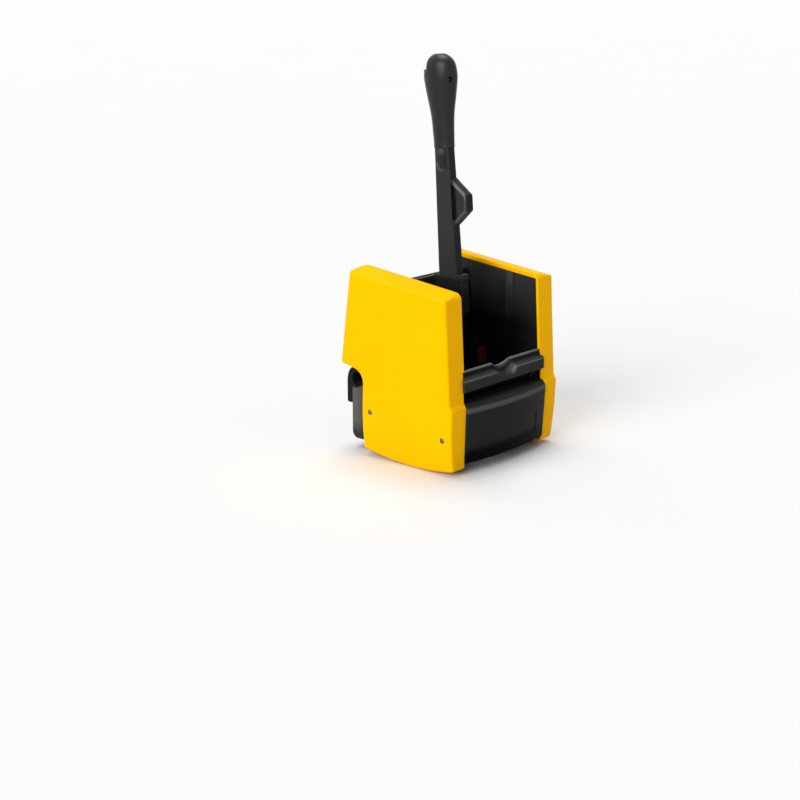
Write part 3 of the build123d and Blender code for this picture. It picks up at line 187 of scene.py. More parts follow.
class PressSizes(bpy.types.PropertyGroup):
    """Sizes of the details that the dressing adds."""

    edge: length("Edge", "Radius that the finishes give to small moulded edges", 0.0013)
    grain: length("Grain", "Pitch of the spark-eroded grain on the mouldings", 0.0011)
    cross_dome: length("Cross dome", "Height of the dome of a cross-head screw", 0.0009)
    cross_width: length("Cross width", "Width of the arms of a screw's cross recess", 0.0011)
    cross_reach: length("Cross reach", "Length of a cross recess from tip to tip", 0.0052)
    cross_depth: length("Cross depth", "Depth of a cross recess", 0.0012)
    hex_dome: length("Hexagon dome", "Height of the dome of a bolt", 0.0004)
    hex_across: length("Hexagon", "Corner radius of the hexagon recess in a bolt", 0.0028)
    hex_depth: length("Hexagon depth", "Depth of the hexagon recess", 0.0022)
    spring_hook: length("Spring hook", "Length of the lower spring wire that follows the crank", 0.026)


class PressStage(bpy.types.PropertyGroup):
    """Camera and light."""

    lens: FloatProperty(
        name="Lens", description="Focal length on a 36 mm sensor", default=72.13, unit="CAMERA"
    )
    distance: length("Distance", "From the camera to the point that it looks at", 2.6713)
    aim: FloatVectorProperty(
        name="Aim",
        description="Point in the middle of the picture",
        default=(-0.0263, -0.0217, -0.0488),
        subtype="XYZ",
        unit="LENGTH",
    )
    turn: angle("Turn", "Camera to the left of the front", 48.925)
    rise: angle("Rise", "Camera above the horizon", 15.888)
    sky: strength("Sky", "Strength of the even light", 0.25)
    key: strength("Key", "Strength of the key light from the left", 2.4)
    top: strength("Top", "Strength of the top light", 2.2)
    softness: angle("Softness", "Width of the lights in the sky", 40.0)


class Wire:
    """A socket that can take part in sums; each sum adds its Math node."""

    def __init__(self, board, socket):
        self.board, self.socket = board, socket

    def sum(self, operation, first, second):
        return self.board.add("ShaderNodeMath", {"operation": operation}, {0: first, 1: second})

    def __add__(self, other):
        return self.sum("ADD", self, other)

    def __radd__(self, other):
        return self.sum("ADD", other, self)

    def __sub__(self, other):
        return self.sum("SUBTRACT", self, other)

    def __rsub__(self, other):
        return self.sum("SUBTRACT", other, self)

    def __mul__(self, other):
        return self.sum("MULTIPLY", self, other)

    def __rmul__(self, other):
        return self.sum("MULTIPLY", other, self)

    def __truediv__(self, other):
        return self.sum("DIVIDE", self, other)

    def __pow__(self, other):
        return self.sum("POWER", self, other)

    def at_least(self, other):
        return self.sum("MAXIMUM", self, other)

    def at_most(self, other):
        return self.sum("MINIMUM", self, other)

    def size(self):
        return self.sum("ABSOLUTE", self, 0.0)


class Board:
    """A node tree and the one way that nodes are put on it."""

    def __init__(self, tree):
        self.tree = tree
        tree.nodes.clear()

    def add(self, kind, settings=None, sockets=None, out=0):
        """Adds a node, its settings first, then the values or links of its sockets; returns one output."""
        node = self.tree.nodes.new(kind)
        for name, value in (settings or {}).items():
            setattr(node, name, value)
        for name, value in (sockets or {}).items():
            for one in value if isinstance(value, list) else [value]:
                if isinstance(one, Wire):
                    self.tree.links.new(one.socket, node.inputs[name])
                else:
                    node.inputs[name].default_value = one
        outputs = [s for s in node.outputs if s.enabled]
        if not outputs:
            return node
        return Wire(self, outputs[out] if isinstance(out, int) else node.outputs[out])

    def outlets(self, kind, sockets=None):
        """Adds a node and returns all its outputs, by name."""
        node = self.add(kind, {}, sockets).socket.node
        return {s.name: Wire(self, s) for s in node.outputs}


class Finish(Board):
    """A material built on Object coordinates."""

    def __init__(self, name):
        self.material = bpy.data.materials.new(name)
        self.material.use_nodes = True
        super().__init__(self.material.node_tree)
        self.place = self.add("ShaderNodeTexCoord", out="Object")

    def stretched(self, scale):
        return self.add("ShaderNodeMapping", {}, {"Vector": self.place, "Scale": scale})

    def noise(self, pitch, detail, rough, where=None):
        where = where or self.place
        sockets = {"Vector": where, "Scale": 1.0 / pitch, "Detail": detail, "Roughness": rough}
        return self.add("ShaderNodeTexNoise", {}, sockets)

    def cells(self, pitch):
        sockets = {"Vector": self.place, "Scale": 1.0 / pitch}
        return self.add("ShaderNodeTexVoronoi", {"feature": "F1"}, sockets)

    def along(self, axis):
        """Distance from the origin along X, Y or Z."""
        return self.outlets("ShaderNodeSeparateXYZ", {0: self.place})[axis]

    def ramp(self, value, low, high):
        """0 below low, 1 above high."""
        sockets = {"Value": value, "From Min": low, "From Max": high}
        return self.add("ShaderNodeMapRange", {"clamp": True}, sockets)

    def fall(self, value, low, high):
        """1 below low, 0 above high."""
        return 1.0 - self.ramp(value, low, high)

    def near(self, value, full, gone):
        """1 where value is within full of 0, and nothing where it is further off than gone."""
        return self.fall(value.size(), full, gone)

    def tint(self, factor, first, second):
        """Mixes two colours."""
        sockets = {0: factor, 6: self.rgba(first), 7: self.rgba(second)}
        return self.add("ShaderNodeMix", {"data_type": "RGBA"}, sockets)

    def rgba(self, value):
        return value if isinstance(value, Wire) else (*value, 1.0)

    def round_edges(self, radius):
        """A normal that is rounded at the edges, and a mask that is 1 on them."""
        rounded = self.add("ShaderNodeBevel", {"samples": EDGE_SAMPLES}, {"Radius": radius})
        flat = self.add("ShaderNodeNewGeometry", out="Normal")
        product = {"operation": "DOT_PRODUCT"}
        nearness = self.add("ShaderNodeVectorMath", product, {0: rounded, 1: flat}, out="Value")
        return rounded, self.ramp(1.0 - nearness, *EDGE_TURN)

    def bump(self, height, depth, strength, normal):
        sockets = {"Height": height, "Distance": depth, "Strength": strength, "Normal": normal}
        return self.add("ShaderNodeBump", {}, sockets)

    def close(self, colour, rough, normal, even):
        """Ends the finish in one shader; the values in even are the same all over."""
        sockets = {"Base Color": colour, "Roughness": rough, "Normal": normal, **even}
        shader = self.add("ShaderNodeBsdfPrincipled", {}, sockets)
        self.add("ShaderNodeOutputMaterial", {}, {"Surface": shader})
        return self.material


def settings():
    """The colours and the sizes that the panel shows."""
    return bpy.context.scene.press_colours, bpy.context.scene.press_sizes


def lighter(colour, by):
    return tuple(min(1.0, c * by) for c in colour)


def moulding(
    name, colour, rough, grain_depth, scuff, edge_wear_and_highlight, shine=0.04, sheen=WHITE, edge_wear_and_highlight_gain=1.9, places=None
):
    """A moulded plastic: eroded grain, flow marks, scuffs in the gloss, and lighter edges, partly worn
    edges and partly a painted highlight.

    places lists masks, each with how many times lighter the moulding is there.
    """
    sizes = settings()[1]
    f = Finish(name)
    normal, edge = f.round_edges(sizes.edge)
    flow = f.noise(FLOW_PITCH, detail=3.0, rough=0.5)
    mottle = f.noise(MOTTLE_PITCH, detail=4.0, rough=0.6)
    drawn = f.stretched((1.0, 0.16, 0.5))
    scratches = f.ramp(f.noise(SCRATCH_PITCH, detail=3.0, rough=0.65, where=drawn), 0.60, 0.74)
    dust = f.ramp(f.noise(DUST_PITCH, detail=2.0, rough=0.6), 0.68, 0.80)
    grain = f.noise(sizes.grain, detail=2.0, rough=0.55)
    pits = f.cells(sizes.grain * 1.6)
    # Edges are lightened partly as worn edges and partly as a painted highlight along them
    edge_wear_and_highlight_mask = edge * (0.4 + 0.6 * f.ramp(mottle, 0.42, 0.62))
    base = f.tint(f.ramp(flow, 0.3, 0.7), lighter(colour, 0.955), lighter(colour, 1.035))
    for mask, by in places(f) if places else ():
        base = f.tint(mask, base, lighter(colour, by))
    base = f.tint(edge_wear_and_highlight_mask * edge_wear_and_highlight, base, lighter(colour, edge_wear_and_highlight_gain))
    base = f.tint((scratches * 0.5 + dust * 0.5) * scuff, base, lighter(colour, 1.8))
    gloss = rough + (mottle - 0.5) * 0.16 + scratches * 0.10 * (0.4 + scuff) - edge_wear_and_highlight_mask * 0.08
    normal = f.bump(grain * 0.75 + pits * 0.25, grain_depth, 0.5, normal)
    return f.close(base, gloss, normal, {"Specular IOR Level": shine, "Specular Tint": (*sheen, 1.0)})


def covers_finish():
    return moulding(
        "yellow_moulding",
        settings()[0].covers,
        rough=0.40,
        grain_depth=0.00004,
        scuff=0.10,
        edge_wear_and_highlight=0.25,
        shine=0.02,
        sheen=(1.0, 0.8, 0.05),
    )


def body_finish():
    return moulding("black_moulding", settings()[0].body, **BLACK_PLASTIC, edge_wear_and_highlight_gain=2.5)


def clamp_painted_reflection(f):
    """Painted reflection: the brackets are painted grey towards the back, as a satin face mirroring bright
    surroundings, but not in the bore and at the heel.
    """
    y, z = f.along("Y"), f.along("Z")
    outside = f.ramp((y * y + z * z) ** 0.5, *BORE_RIM)
    # painted reflection: grey towards the back, outside the bore and above the heel
    return [(f.ramp(y, *BRACKET_BACK) * outside * f.ramp(z, *BRACKET_HEEL), 3.2)]


def bracket_finish():
    body = settings()[0].body
    return moulding("bracket_moulding", body, **BLACK_PLASTIC, edge_wear_and_highlight_gain=3.5, places=clamp_painted_reflection)


def strap_finish():
    # painted shade: the straps use a darker copy of the black moulding
    return moulding("strap_moulding", lighter(settings()[0].body, 0.4), **BLACK_PLASTIC, edge_wear_and_highlight_gain=3.0)


def chamber_painted_light(f):
    """Painted shade darkens the walls towards the bottom and the back, just behind the raised part's front
    edge and in the crease at its foot; a painted highlight lightens the slope of the raised part.
    """
    y, z = f.along("Y"), f.along("Z")
    low = f.fall(z, *WALL_SHADE)
    behind = f.ramp(y, LINER - 0.0015, LINER + 0.0005) * f.fall(y, LINER + 0.006, LINER + 0.026)
    slope = f.ramp(y, LINER - 0.0125, LINER - 0.0110) * f.fall(y, LINER - 0.0070, LINER)
    seam = f.near(y - SEAM, 0.0008, 0.0024)
    return [
        # painted shade, deeper low on the walls and towards the back
        (low * (0.74 + 0.26 * f.ramp(y, *WALL_FRONT)), 0.1),
        # painted shade just behind the raised part's front edge
        (behind * f.fall(z, 0.148, 0.168) * 0.45, 0.1),
        # painted highlight on the slope of the raised part
        (slope * f.ramp(z, 0.136, 0.164), 1.7),
        # painted shade in the crease at the slope's foot
        (seam * f.ramp(z, 0.130, 0.160), 0.6),
    ]


def walls_finish():
    walls = {**BLACK_PLASTIC, "edge_wear_and_highlight": 0.5}
    return moulding("wall_moulding", settings()[0].walls, **walls, places=chamber_painted_light)


def jaw_painted_shade(f):
    """Painted shade darkens the moving jaw below its top edge, and most of all below the lever's socket."""
    z = f.along("Z")
    # painted shade below the top edge and below the socket
    return [(0.6 * f.fall(z, *JAW_EDGE) + 0.4 * f.fall(z, *SOCKET_FOOT), 0.1)]


def jaw_finish():
    return moulding("jaw_moulding", settings()[0].body, **BLACK_PLASTIC, edge_wear_and_highlight_gain=2.5, places=jaw_painted_shade)


def ledge_painted_light(f):
    """Painted highlights on the bead, the front edge, the flank of the notch and a crescent on the lip;
    painted shade in the groove below the bead and on the lower front face.
    """
    x, y, z = f.along("X"), f.along("Y"), f.along("Z")
    dip = NOTCH_CENTRE - (NOTCH_RADIUS**2 - x * x).at_least(0.0) ** 0.5
    below = dip.at_most(RIDGE_TOP) - z
    front = f.fall(y, *LEDGE_FRONT)
    groove = f.ramp(below, 0.0026, 0.0034) * f.fall(below, 0.007, 0.0105) * (1.0 - front)
    edge = f.near(z - LEDGE_EDGE, 0.0008, 0.002) * front
    notch = f.ramp(RIDGE_TOP - dip, 0.0005, 0.0025)
    bead = f.fall(below, 0.0016, 0.0026) * (1.0 - notch * f.fall(y, *BEAD_FRONT))
    flank = f.ramp(x, *FLANK_LEFT) * f.fall(x, *FLANK_RIGHT) * f.ramp(below, 0.004, 0.008)
    across, up = x - CRESCENT_HIGHLIGHT[0], z - CRESCENT_HIGHLIGHT[1]
    crescent_highlight = f.near(across * -CRESCENT_HIGHLIGHT_LINE[1] + up * CRESCENT_HIGHLIGHT_LINE[0], 0.0008, 0.0042)
    crescent_highlight = crescent_highlight * f.near(across * CRESCENT_HIGHLIGHT_LINE[0] + up * CRESCENT_HIGHLIGHT_LINE[1], 0.003, 0.0095)
    before = f.fall(y, *LEDGE_LIP)
    return [
        # painted highlight on the bead
        (bead, 4.5),
        # painted shade in the groove below the bead
        (groove, 0.06),
        # painted shade on the lower front face
        (front * f.fall(z, 0.029, 0.031), 0.75),
        # painted highlight on the front edge
        (edge, 3.2),
        # painted highlight on the flank of the notch
        (flank * before * f.ramp(z, 0.019, 0.027), 2.4),
        # painted highlight: a crescent standing in for the notch's hollow in the lip
        (crescent_highlight * before, 7.0),
    ]


def ledge_finish():
    return moulding("ledge_moulding", settings()[0].body, **BLACK_PLASTIC, edge_wear_and_highlight_gain=3.0, places=ledge_painted_light)


def lever_painted_light(f):
    """Painted highlights on the lug's rim and at the ends of the pads; painted shade in the slot, in the
    pads and on the lever's front face.
    """
    x, y, z = f.along("X"), f.along("Y"), f.along("Z")
    forward = LEVER_AXIS[0] - y + (z - LEVER_AXIS[1]) * math.tan(LEVER_LEAN)
    lug = f.ramp(forward, *LUG_ROOT) * f.fall(forward, *LUG_NOSE) * f.ramp(z, *LUG_FOOT)
    rim = f.ramp(x.size(), *LUG_RIM)
    drop = (z - PAD_CENTRE).at_most(0.0)
    radius = (forward * forward + drop * drop) ** 0.5
    pad = f.fall(radius, *PAD_RIM) * f.ramp(forward, *PAD_SHADE)
    pad = pad * f.ramp(z, PAD_CENTRE - 0.014, PAD_CENTRE - 0.010)
    scoop = f.near(z - PAD_CENTRE - SCOOP_RISE, 0.0, 0.011) * f.near(forward, 0.0, 0.010)
    foot = f.near(radius - FOOT_RADIUS, 0.0004, 0.0036) * f.fall(forward, -0.005, 0.009)
    foot = foot * f.fall(z, PAD_CENTRE, PAD_CENTRE + 0.006)
    slot = f.near(forward - SLOT_FORWARD, 0.0034, 0.0038) * f.ramp(z, *SLOT_FOOT)
    slot = slot * f.fall(z, *SLOT_HEAD)
    upper = f.ramp(z, *LUG_UPPER)
    front = LEVER_HALF - (z - LEVER_AXIS[1]) * LEVER_TAPER - forward
    shaded = f.fall(front, 0.0005, 0.0030) * (1.0 - lug)
    face = f.ramp(x.size(), *PAD_FACE)
    return [
        # painted shade on the lever's front face
        (shaded, 0.55),
        # painted highlight on the lug's rim
        (lug * rim, 2.2),
        # a stronger painted highlight on the lug's upper rim
        (lug * rim * upper, 4.6),
        # painted shade in the pad
        (pad, 0.42),
        # painted highlight under the grip
        (scoop * face, 3.0),
        # painted highlight at the foot of the pad
        (foot * face, 2.4),
        # painted shade in the slot
        (slot, 0.15),
    ]


def lever_finish():
    lever = {**BLACK_PLASTIC, "rough": 0.40, "grain_depth": 0.00006}
    return moulding(
        "lever_moulding", lighter(settings()[0].body, 1.08), **lever, edge_wear_and_highlight_gain=3.0, places=lever_painted_light
    )


def apron_painted_light(f):
    """Painted shade on the apron's foot and on its upstand; a painted highlight along its shoulder."""
    z = f.along("Z")
    shoulder = f.near(z - SHOULDER, 0.002, 0.0055)
    # painted shade on the foot, painted highlight on the shoulder, painted shade on the upstand
    return [(f.fall(z, *APRON_FOOT), 0.05), (shoulder, 4.2), (f.ramp(z, *APRON_UPSTAND), 0.1)]


def apron_finish():
    return moulding(
        "gloss_black_moulding",
        settings()[0].apron,
        rough=0.21,
        grain_depth=0.000012,
        scuff=0.22,
        edge_wear_and_highlight=0.4,
        shine=0.02,
        edge_wear_and_highlight_gain=3.0,
        places=apron_painted_light,
    )


def glides_finish():
    return moulding(
        "red_nylon", settings()[0].glides, rough=0.38, grain_depth=0.00003, scuff=0.12, edge_wear_and_highlight=0.25
    )


def bushes_finish():
    return moulding(
        "pale_nylon", settings()[0].bushes, rough=0.44, grain_depth=0.00003, scuff=0.08, edge_wear_and_highlight=0.1
    )


def grip_finish():
    return moulding(
        "soft_grip",
        settings()[0].grip,
        rough=0.34,
        grain_depth=0.00006,
        scuff=0.25,
        edge_wear_and_highlight=0.6,
        shine=0.2,
        edge_wear_and_highlight_gain=3.5,
    )


def buffers_finish():
    return moulding(
        "buffer_rubber", settings()[0].buffers, rough=0.72, grain_depth=0.00012, scuff=0.2, edge_wear_and_highlight=0.2
    )


def steel_finish(name, colour):
    """Plated steel: drawn lines, soft spangle and darker spots."""
    sizes = settings()[1]
    f = Finish(name)
    normal, edge = f.round_edges(sizes.edge * 0.4)
    drawn = f.stretched((1.0, 0.12, 1.0))
    lines = f.noise(LINE_PITCH, detail=3.0, rough=0.6, where=drawn)
    spangle = f.cells(SPANGLE_PITCH)
    spots = f.ramp(f.noise(SPOT_PITCH, detail=4.0, rough=0.65), 0.60, 0.78)
    base = f.tint(f.ramp(lines, 0.35, 0.65), lighter(colour, 0.86), lighter(colour, 1.12))
    base = f.tint(spots * 0.45, base, lighter(colour, 0.35))
    gloss = 0.25 + lines * 0.16 + spangle * 0.05 + spots * 0.18 - edge * 0.06
    normal = f.bump(lines, 0.00002, 0.4, normal)
    return f.close(base, gloss, normal, {"Metallic": 1.0})


def dress(finish, *things):
    """Gives CAD nodes, or pieces, a finish."""
    for thing in things:
        mesh = (NODES[thing] if isinstance(thing, str) else thing).data
        mesh.materials.clear()
        mesh.materials.append(finish)


def merged(node):
    """A copy of a CAD node's mesh, its loose triangles joined."""
    bm = bmesh.new()
    bm.from_mesh(NODES[node].data)
    bmesh.ops.remove_doubles(bm, verts=bm.verts, dist=MERGE)
    return bm


def piece_from(name, mesh):
    piece = bpy.data.objects.new(name, mesh)
    bpy.context.scene.collection.objects.link(piece)
    return piece


def islands(bm):
    """The corners of each separate solid of a mesh, as rows of points."""
    left = set(bm.verts)
    while left:
        island, queue = set(), [next(iter(left))]
        while queue:
            vert = queue.pop()
            if vert not in island:
                island.add(vert)
                queue.extend(e.other_vert(vert) for e in vert.link_edges)
        left -= island
        yield np.array([v.co[:] for v in island])


def fasteners(node):
    """Finds each screw of a node: the seat under its head, where it faces, and its sizes."""
    bm = merged(node)
    found = []
    for points in islands(bm):
        offsets = points - points.mean(0)
        spread, axes = np.linalg.eigh(np.cov(offsets.T))
        odd = 0 if spread[1] - spread[0] > spread[2] - spread[1] else 2
        axis = axes[:, odd]
        along = offsets @ axis
        away = np.linalg.norm(offsets - np.outer(along, axis), axis=1)
        head = away > HEAD_SHARE * away.max()
        if along[head].mean() < along.mean():
            axis, along = -axis, -along
        seat = along[head].min()
        found.append(
            {
                "seat": Vector(points.mean(0) + axis * seat),
                "facing": Vector(axis),
                "radius": float(away.max()),
                "height": float(along.max() - seat),
                "shank": float(np.median(away[~head])),
                "depth": float(seat - along.min()),
            }
        )
    bm.free()
    return sorted(found, key=lambda s: tuple(round(c, 4) for c in s["seat"]))


def fastener_tree(name, recess):
    """A tree that sets a domed head with a cut recess, and its shank, on each point."""
    tree = bpy.data.node_groups.new(name, "GeometryNodeTree")
    b = Board(tree)
    face = tree.interface
    face.new_socket("Geometry", in_out="INPUT", socket_type="NodeSocketGeometry")
    head_sizes = ("Head Radius", "Head Height", "Dome")
    recess_sizes = ("Recess Size", "Recess Width", "Recess Depth")
    for title in (*head_sizes, *recess_sizes, "Shank Radius"):
        face.new_socket(title, in_out="INPUT", socket_type="NodeSocketFloat")
    face.new_socket("Finish", in_out="INPUT", socket_type="NodeSocketMaterial")
    face.new_socket("Geometry", in_out="OUTPUT", socket_type="NodeSocketGeometry")
    given = b.outlets("NodeGroupInput")

    def vector(x=0.0, y=0.0, z=0.0):
        return b.add("ShaderNodeCombineXYZ", {}, {0: x, 1: y, 2: z})

    def moved(geometry, offset):
        return b.add("GeometryNodeTransform", {}, {"Geometry": geometry, "Translation": offset})

    # Head: a short drum whose top is drawn up into a dome and in at the rim
    rim, tall, dome = (given[title] for title in head_sizes)
    drum = b.add(
        "GeometryNodeMeshCylinder",
        {"fill_type": "NGON"},
        {
            "Vertices": HEAD_SIDES,
            "Side Segments": HEAD_RINGS,
            "Fill Segments": CAP_RINGS,
            "Radius": rim,
            "Depth": tall,
        },
    )
    drum = moved(drum, vector(z=tall * 0.5))
    place = b.add("GeometryNodeInputPosition")
    x, y, z = b.outlets("ShaderNodeSeparateXYZ", {0: place}).values()
    out = (x * x + y * y) ** 0.5 / rim
    up = z / tall
    lift = up * (0.0 - dome) * out * out
    shrink = (up**4.0) * HEAD_DRAW
    offset = vector(x * shrink, y * shrink, lift)
    domed = b.add("GeometryNodeSetPosition", {}, {"Geometry": drum, "Offset": offset})
    # Recess
    reach, wide, deep = (given[title] for title in recess_sizes)
    if recess == "cross":
        arm = b.add("GeometryNodeMeshCube", {}, {"Size": vector(reach, wide, deep * 2.0)})
        other = b.add("GeometryNodeMeshCube", {}, {"Size": vector(wide, reach, deep * 2.0)})
        cutters = [arm, other]
    else:
        hexagon = {"Vertices": 6, "Radius": reach, "Depth": deep * 2.0}
        cutters = [b.add("GeometryNodeMeshCylinder", {}, hexagon)]
    for cutter in cutters:
        domed = b.add(
            "GeometryNodeMeshBoolean",
            {"operation": "DIFFERENCE", "solver": "EXACT"},
            {"Mesh 1": domed, "Mesh 2": moved(cutter, vector(z=tall))},
        )
    # Shank: one long, scaled to each point's own length
    shank = b.add(
        "GeometryNodeMeshCylinder",
        {},
        {"Vertices": SHANK_SIDES, "Side Segments": 1, "Radius": given["Shank Radius"], "Depth": 1.0},
    )
    shank = moved(shank, vector(z=-0.5))
    named = "GeometryNodeInputNamedAttribute"
    facing = b.add(named, {"data_type": "FLOAT_VECTOR"}, {"Name": "facing"})
    depth = b.add(named, {"data_type": "FLOAT"}, {"Name": "depth"})
    turn = b.add("FunctionNodeAlignRotationToVector", {"axis": "Z"}, {"Vector": facing})
    on_points = {"Points": given["Geometry"], "Rotation": turn}
    stretch = vector(1.0, 1.0, depth)
    heads = b.add("GeometryNodeInstanceOnPoints", {}, {**on_points, "Instance": domed})
    shanks = b.add("GeometryNodeInstanceOnPoints", {}, {**on_points, "Instance": shank, "Scale": stretch})
    both = b.add("GeometryNodeJoinGeometry", {}, {0: [heads, shanks]})
    whole = b.add("GeometryNodeRealizeInstances", {}, {0: both})
    done = b.add("GeometryNodeSetMaterial", {}, {"Geometry": whole, "Material": given["Finish"]})
    b.add("NodeGroupOutput", {}, {0: done})
    return tree


def grow(name, tree, places, values):
    """Runs a fastener tree on points and returns the piece with a plain mesh."""
    mesh = bpy.data.meshes.new(name)
    mesh.from_pydata([p["seat"] for p in places], [], [])
    facing = mesh.attributes.new("facing", "FLOAT_VECTOR", "POINT")
    facing.data.foreach_set("vector", [c for p in places for c in p["facing"]])
    depth = mesh.attributes.new("depth", "FLOAT", "POINT")
    depth.data.foreach_set("value", [p["depth"] for p in places])
    piece = piece_from(name, mesh)
    nodes = piece.modifiers.new("grow", "NODES")
    nodes.node_group = tree
    for socket in tree.interface.items_tree:
        if socket.in_out == "INPUT" and socket.name in values:
            nodes[socket.identifier] = values[socket.name]
    seen = piece.evaluated_get(bpy.context.evaluated_depsgraph_get())
    plain = bpy.data.meshes.new_from_object(seen)
    piece.modifiers.remove(nodes)
    piece.data = plain
    plain.name = name
    if not plain.polygons:
        raise RuntimeError(name + " came out empty")
    return piece


def set_fasteners(name, tree, body, nodes, values):
    """Replaces the plain fasteners of some nodes by detailed ones."""
    places = [p for node in nodes for p in fasteners(node)]
    first = places[0]
    values = {
        "Head Radius": first["radius"],
        "Head Height": first["height"],
        "Shank Radius": first["shank"],
        **values,
    }
    piece = grow(name, tree, places, values)
    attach(piece, body)
    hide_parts(*nodes)


class PressStep:
    """What the operators share."""

    bl_options = {"REGISTER", "UNDO"}


class MOPPRESS_OT_covers(PressStep, bpy.types.Operator):
    """Finish the two yellow side covers"""

    bl_idname = "mop_press.covers"
    bl_label = "Side covers"

    def execute(self, context):
        dress(covers_finish(), "side_cover_left", "side_cover_right")
        return {"FINISHED"}


class MOPPRESS_OT_body(PressStep, bpy.types.Operator):
    """Finish the frame, both jaws and the tube clamp in black moulding"""

    bl_idname = "mop_press.body"
    bl_label = "Frame and jaws"

    def execute(self, context):
        dress(body_finish(), "back_panel")
        dress(strap_finish(), "tube_strap_left", "tube_strap_right")
        dress(bracket_finish(), "tube_bracket_left", "tube_bracket_right")
        dress(walls_finish(), "side_frame_left", "side_frame_right")
        dress(ledge_finish(), "front_jaw")
        dress(jaw_finish(), "moving_jaw")
        return {"FINISHED"}


class MOPPRESS_OT_apron(PressStep, bpy.types.Operator):
    """Finish the polished front apron"""

    bl_idname = "mop_press.apron"
    bl_label = "Front apron"

    def execute(self, context):
        dress(apron_finish(), "front_apron")
        return {"FINISHED"}


class MOPPRESS_OT_lever(PressStep, bpy.types.Operator):
    """Finish the lever, with a painted highlight on its lug, and its grip"""

    bl_idname = "mop_press.lever"
    bl_label = "Lever and grip"

    def execute(self, context):
        dress(lever_finish(), "lever_arm")
        dress(grip_finish(), "lever_grip")
        return {"FINISHED"}


class MOPPRESS_OT_running_gear(PressStep, bpy.types.Operator):
    """Finish the axle's bushes, the glides and the rest buffers"""

    bl_idname = "mop_press.running_gear"
    bl_label = "Running gear"

    def execute(self, context):
        dress(bushes_finish(), "axle_bush_left", "axle_bush_right")
        dress(glides_finish(), "jaw_glide_left", "jaw_glide_right")
        dress(buffers_finish(), "rest_buffers")
        return {"FINISHED"}


class MOPPRESS_OT_fasteners(PressStep, bpy.types.Operator):
    """Replace the screws and bolts by ones with cut recesses, and finish the other steel"""

    bl_idname = "mop_press.fasteners"
    bl_label = "Fasteners and steel"

    def execute(self, context):
        colours, sizes = settings()
        steel = steel_finish("zinc_plated_steel", colours.steel)
        dark = steel_finish("dark_passivated_steel", colours.dark_steel)
        black = steel_finish("blackened_steel", colours.black_steel)
        cross = {
            "Dome": sizes.cross_dome,
            "Recess Size": sizes.cross_reach,
            "Recess Width": sizes.cross_width,
            "Recess Depth": sizes.cross_depth,
            "Finish": dark,
        }
        black_cross = {**cross, "Finish": black}
        hexagon = {
            "Dome": sizes.hex_dome,
            "Recess Size": sizes.hex_across,
            "Recess Width": sizes.hex_across,
            "Recess Depth": sizes.hex_depth,
            "Finish": steel,
        }
        screws = fastener_tree("cross_screws", "cross")
        bolts = fastener_tree("hexagon_bolts", "hexagon")
        in_frame = ("cover_screws", "frame_screws", "bracket_screws")
        in_rocker = ("grip_screw", "glide_screws")
        set_fasteners("frame_cross_screws", screws, "frame", in_frame, cross)
        set_fasteners("rocker_cross_screws", screws, "rocker", in_rocker, black_cross)
        set_fasteners("clamp_cap_bolts", bolts, "frame", ("strap_bolts",), hexagon)
        set_fasteners("lever_cap_bolts", bolts, "rocker", ("lever_bolts",), hexagon)
        dress(steel, "axle", "axle_keys", "axle_clips", "crank_left", "crank_right", "crank_keys")
        dress(steel, "lever_nuts", "spring_pins", "anchor_pins")
        return {"FINISHED"}


class MOPPRESS_OT_springs(PressStep, bpy.types.Operator):
    """Replace the return springs by smooth-shaded copies in plated steel"""

    bl_idname = "mop_press.springs"
    bl_label = "Return springs"

    def execute(self, context):
        steel = bpy.data.materials["zinc_plated_steel"]
        for side in ("left", "right"):
            node = "return_spring_" + side
            mesh = bpy.data.meshes.new("spring_wire_" + side)
            bm = merged(node)
            for face in bm.faces:
                face.smooth = True
            bm.to_mesh(mesh)
            bm.free()
            piece = piece_from(mesh.name, mesh)
            dress(steel, piece)
            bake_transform(piece)
            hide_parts(node)
        return {"FINISHED"}


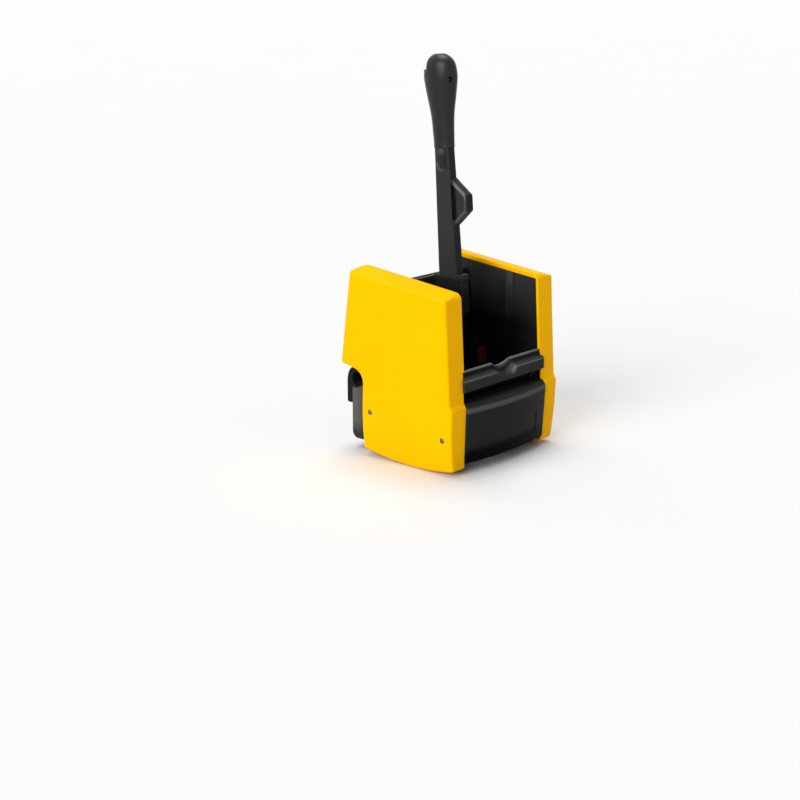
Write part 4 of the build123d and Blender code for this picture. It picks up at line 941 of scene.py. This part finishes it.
class MOPPRESS_OT_stage(PressStep, bpy.types.Operator):
    """Lay the pale floor and set up the light and the camera"""

    bl_idname = "mop_press.stage"
    bl_label = "Studio stage"

    def execute(self, context):
        scene = context.scene
        scene.view_settings.view_transform = "Standard"
        stage = scene.press_stage
        self.lay_floor()
        self.light_sky(scene, stage.sky)
        self.hang_lamp(scene, "key_light", KEY_SIDE, stage.key, stage.softness)
        self.hang_lamp(scene, "top_light", TOP_SIDE, stage.top, stage.softness)
        self.place_camera(scene, stage)
        return {"FINISHED"}

    def lay_floor(self):
        mesh = bpy.data.meshes.new("studio_floor")
        bm = bmesh.new()
        bmesh.ops.create_circle(bm, cap_ends=True, segments=96, radius=FLOOR_RADIUS)
        bmesh.ops.translate(bm, vec=(0, 0, CAD_BOX[0].z - FLOOR_GAP), verts=bm.verts)
        bm.to_mesh(mesh)
        bm.free()
        floor = piece_from("studio_floor", mesh)
        f = Finish("studio_floor")
        paint = settings()[0].floor
        mottle = f.noise(0.5, detail=3.0, rough=0.5)
        base = f.tint(mottle, lighter(paint, 0.99), lighter(paint, 1.01))
        normal = f.add("ShaderNodeNewGeometry", out="Normal")
        dress(f.close(base, 0.7 + mottle * 0.1, normal, {"Specular IOR Level": 0.2}), floor)

    def light_sky(self, scene, strength):
        """White to the camera and in reflections, and dimmer as a light."""
        world = bpy.data.worlds.new("studio_sky")
        scene.world = world
        world.use_nodes = True
        b = Board(world.node_tree)
        ray = b.outlets("ShaderNodeLightPath")
        seen = ray["Is Camera Ray"].at_least(ray["Is Transmission Ray"]).at_least(ray["Is Glossy Ray"])
        level = seen * (1.0 - strength) + strength
        sky = b.add("ShaderNodeBackground", {}, {"Color": (*WHITE, 1.0), "Strength": level})
        b.add("ShaderNodeOutputWorld", {}, {"Surface": sky})

    def hang_lamp(self, scene, name, side, strength, softness):
        data = bpy.data.lights.new(name, "SUN")
        data.energy, data.angle = strength, softness
        lamp = bpy.data.objects.new(name, data)
        lamp.location = Vector(side).normalized() * LAMP_DISTANCE
        lamp.rotation_euler = Vector(side).to_track_quat("Z", "Y").to_euler()
        scene.collection.objects.link(lamp)

    def place_camera(self, scene, stage):
        data = bpy.data.cameras.new("photo_camera")
        data.lens, data.sensor_width = stage.lens, SENSOR
        camera = bpy.data.objects.new("photo_camera", data)
        level = math.cos(stage.rise)
        back = Vector(
            (-math.sin(stage.turn) * level, -math.cos(stage.turn) * level, math.sin(stage.rise))
        )
        camera.location = Vector(stage.aim) + back * stage.distance
        camera.rotation_euler = back.to_track_quat("Z", "Y").to_euler()
        scene.collection.objects.link(camera)
        scene.camera = camera


OPERATORS = (
    MOPPRESS_OT_stage,
    MOPPRESS_OT_covers,
    MOPPRESS_OT_body,
    MOPPRESS_OT_apron,
    MOPPRESS_OT_lever,
    MOPPRESS_OT_running_gear,
    MOPPRESS_OT_fasteners,
    MOPPRESS_OT_springs,
)


class MOPPRESS_PT_dresser(bpy.types.Panel):
    """Lists the settings and the steps of the dressing"""

    bl_idname = "MOPPRESS_PT_dresser"
    bl_label = "Mop Press"
    bl_space_type = "VIEW_3D"
    bl_region_type = "UI"
    bl_category = "Mop Press"

    def draw(self, context):
        for name in GROUPS:
            group = getattr(context.scene, name)
            box = self.layout.box()
            for setting in group.__annotations__:
                box.prop(group, setting)
        for step in OPERATORS:
            self.layout.operator(step.bl_idname)


GROUPS = {"press_colours": PressColours, "press_sizes": PressSizes, "press_stage": PressStage}
CLASSES = (*GROUPS.values(), *OPERATORS, MOPPRESS_PT_dresser)


def register():
    for one in CLASSES:
        bpy.utils.register_class(one)
    for name, group in GROUPS.items():
        setattr(bpy.types.Scene, name, PointerProperty(type=group))


def unregister():
    for name in GROUPS:
        delattr(bpy.types.Scene, name)
    for one in reversed(CLASSES):
        bpy.utils.unregister_class(one)


def main():
    register()
    for step in OPERATORS:
        group, action = step.bl_idname.split(".")
        getattr(getattr(bpy.ops, group), action)()


if __name__ == "__main__":
    main()
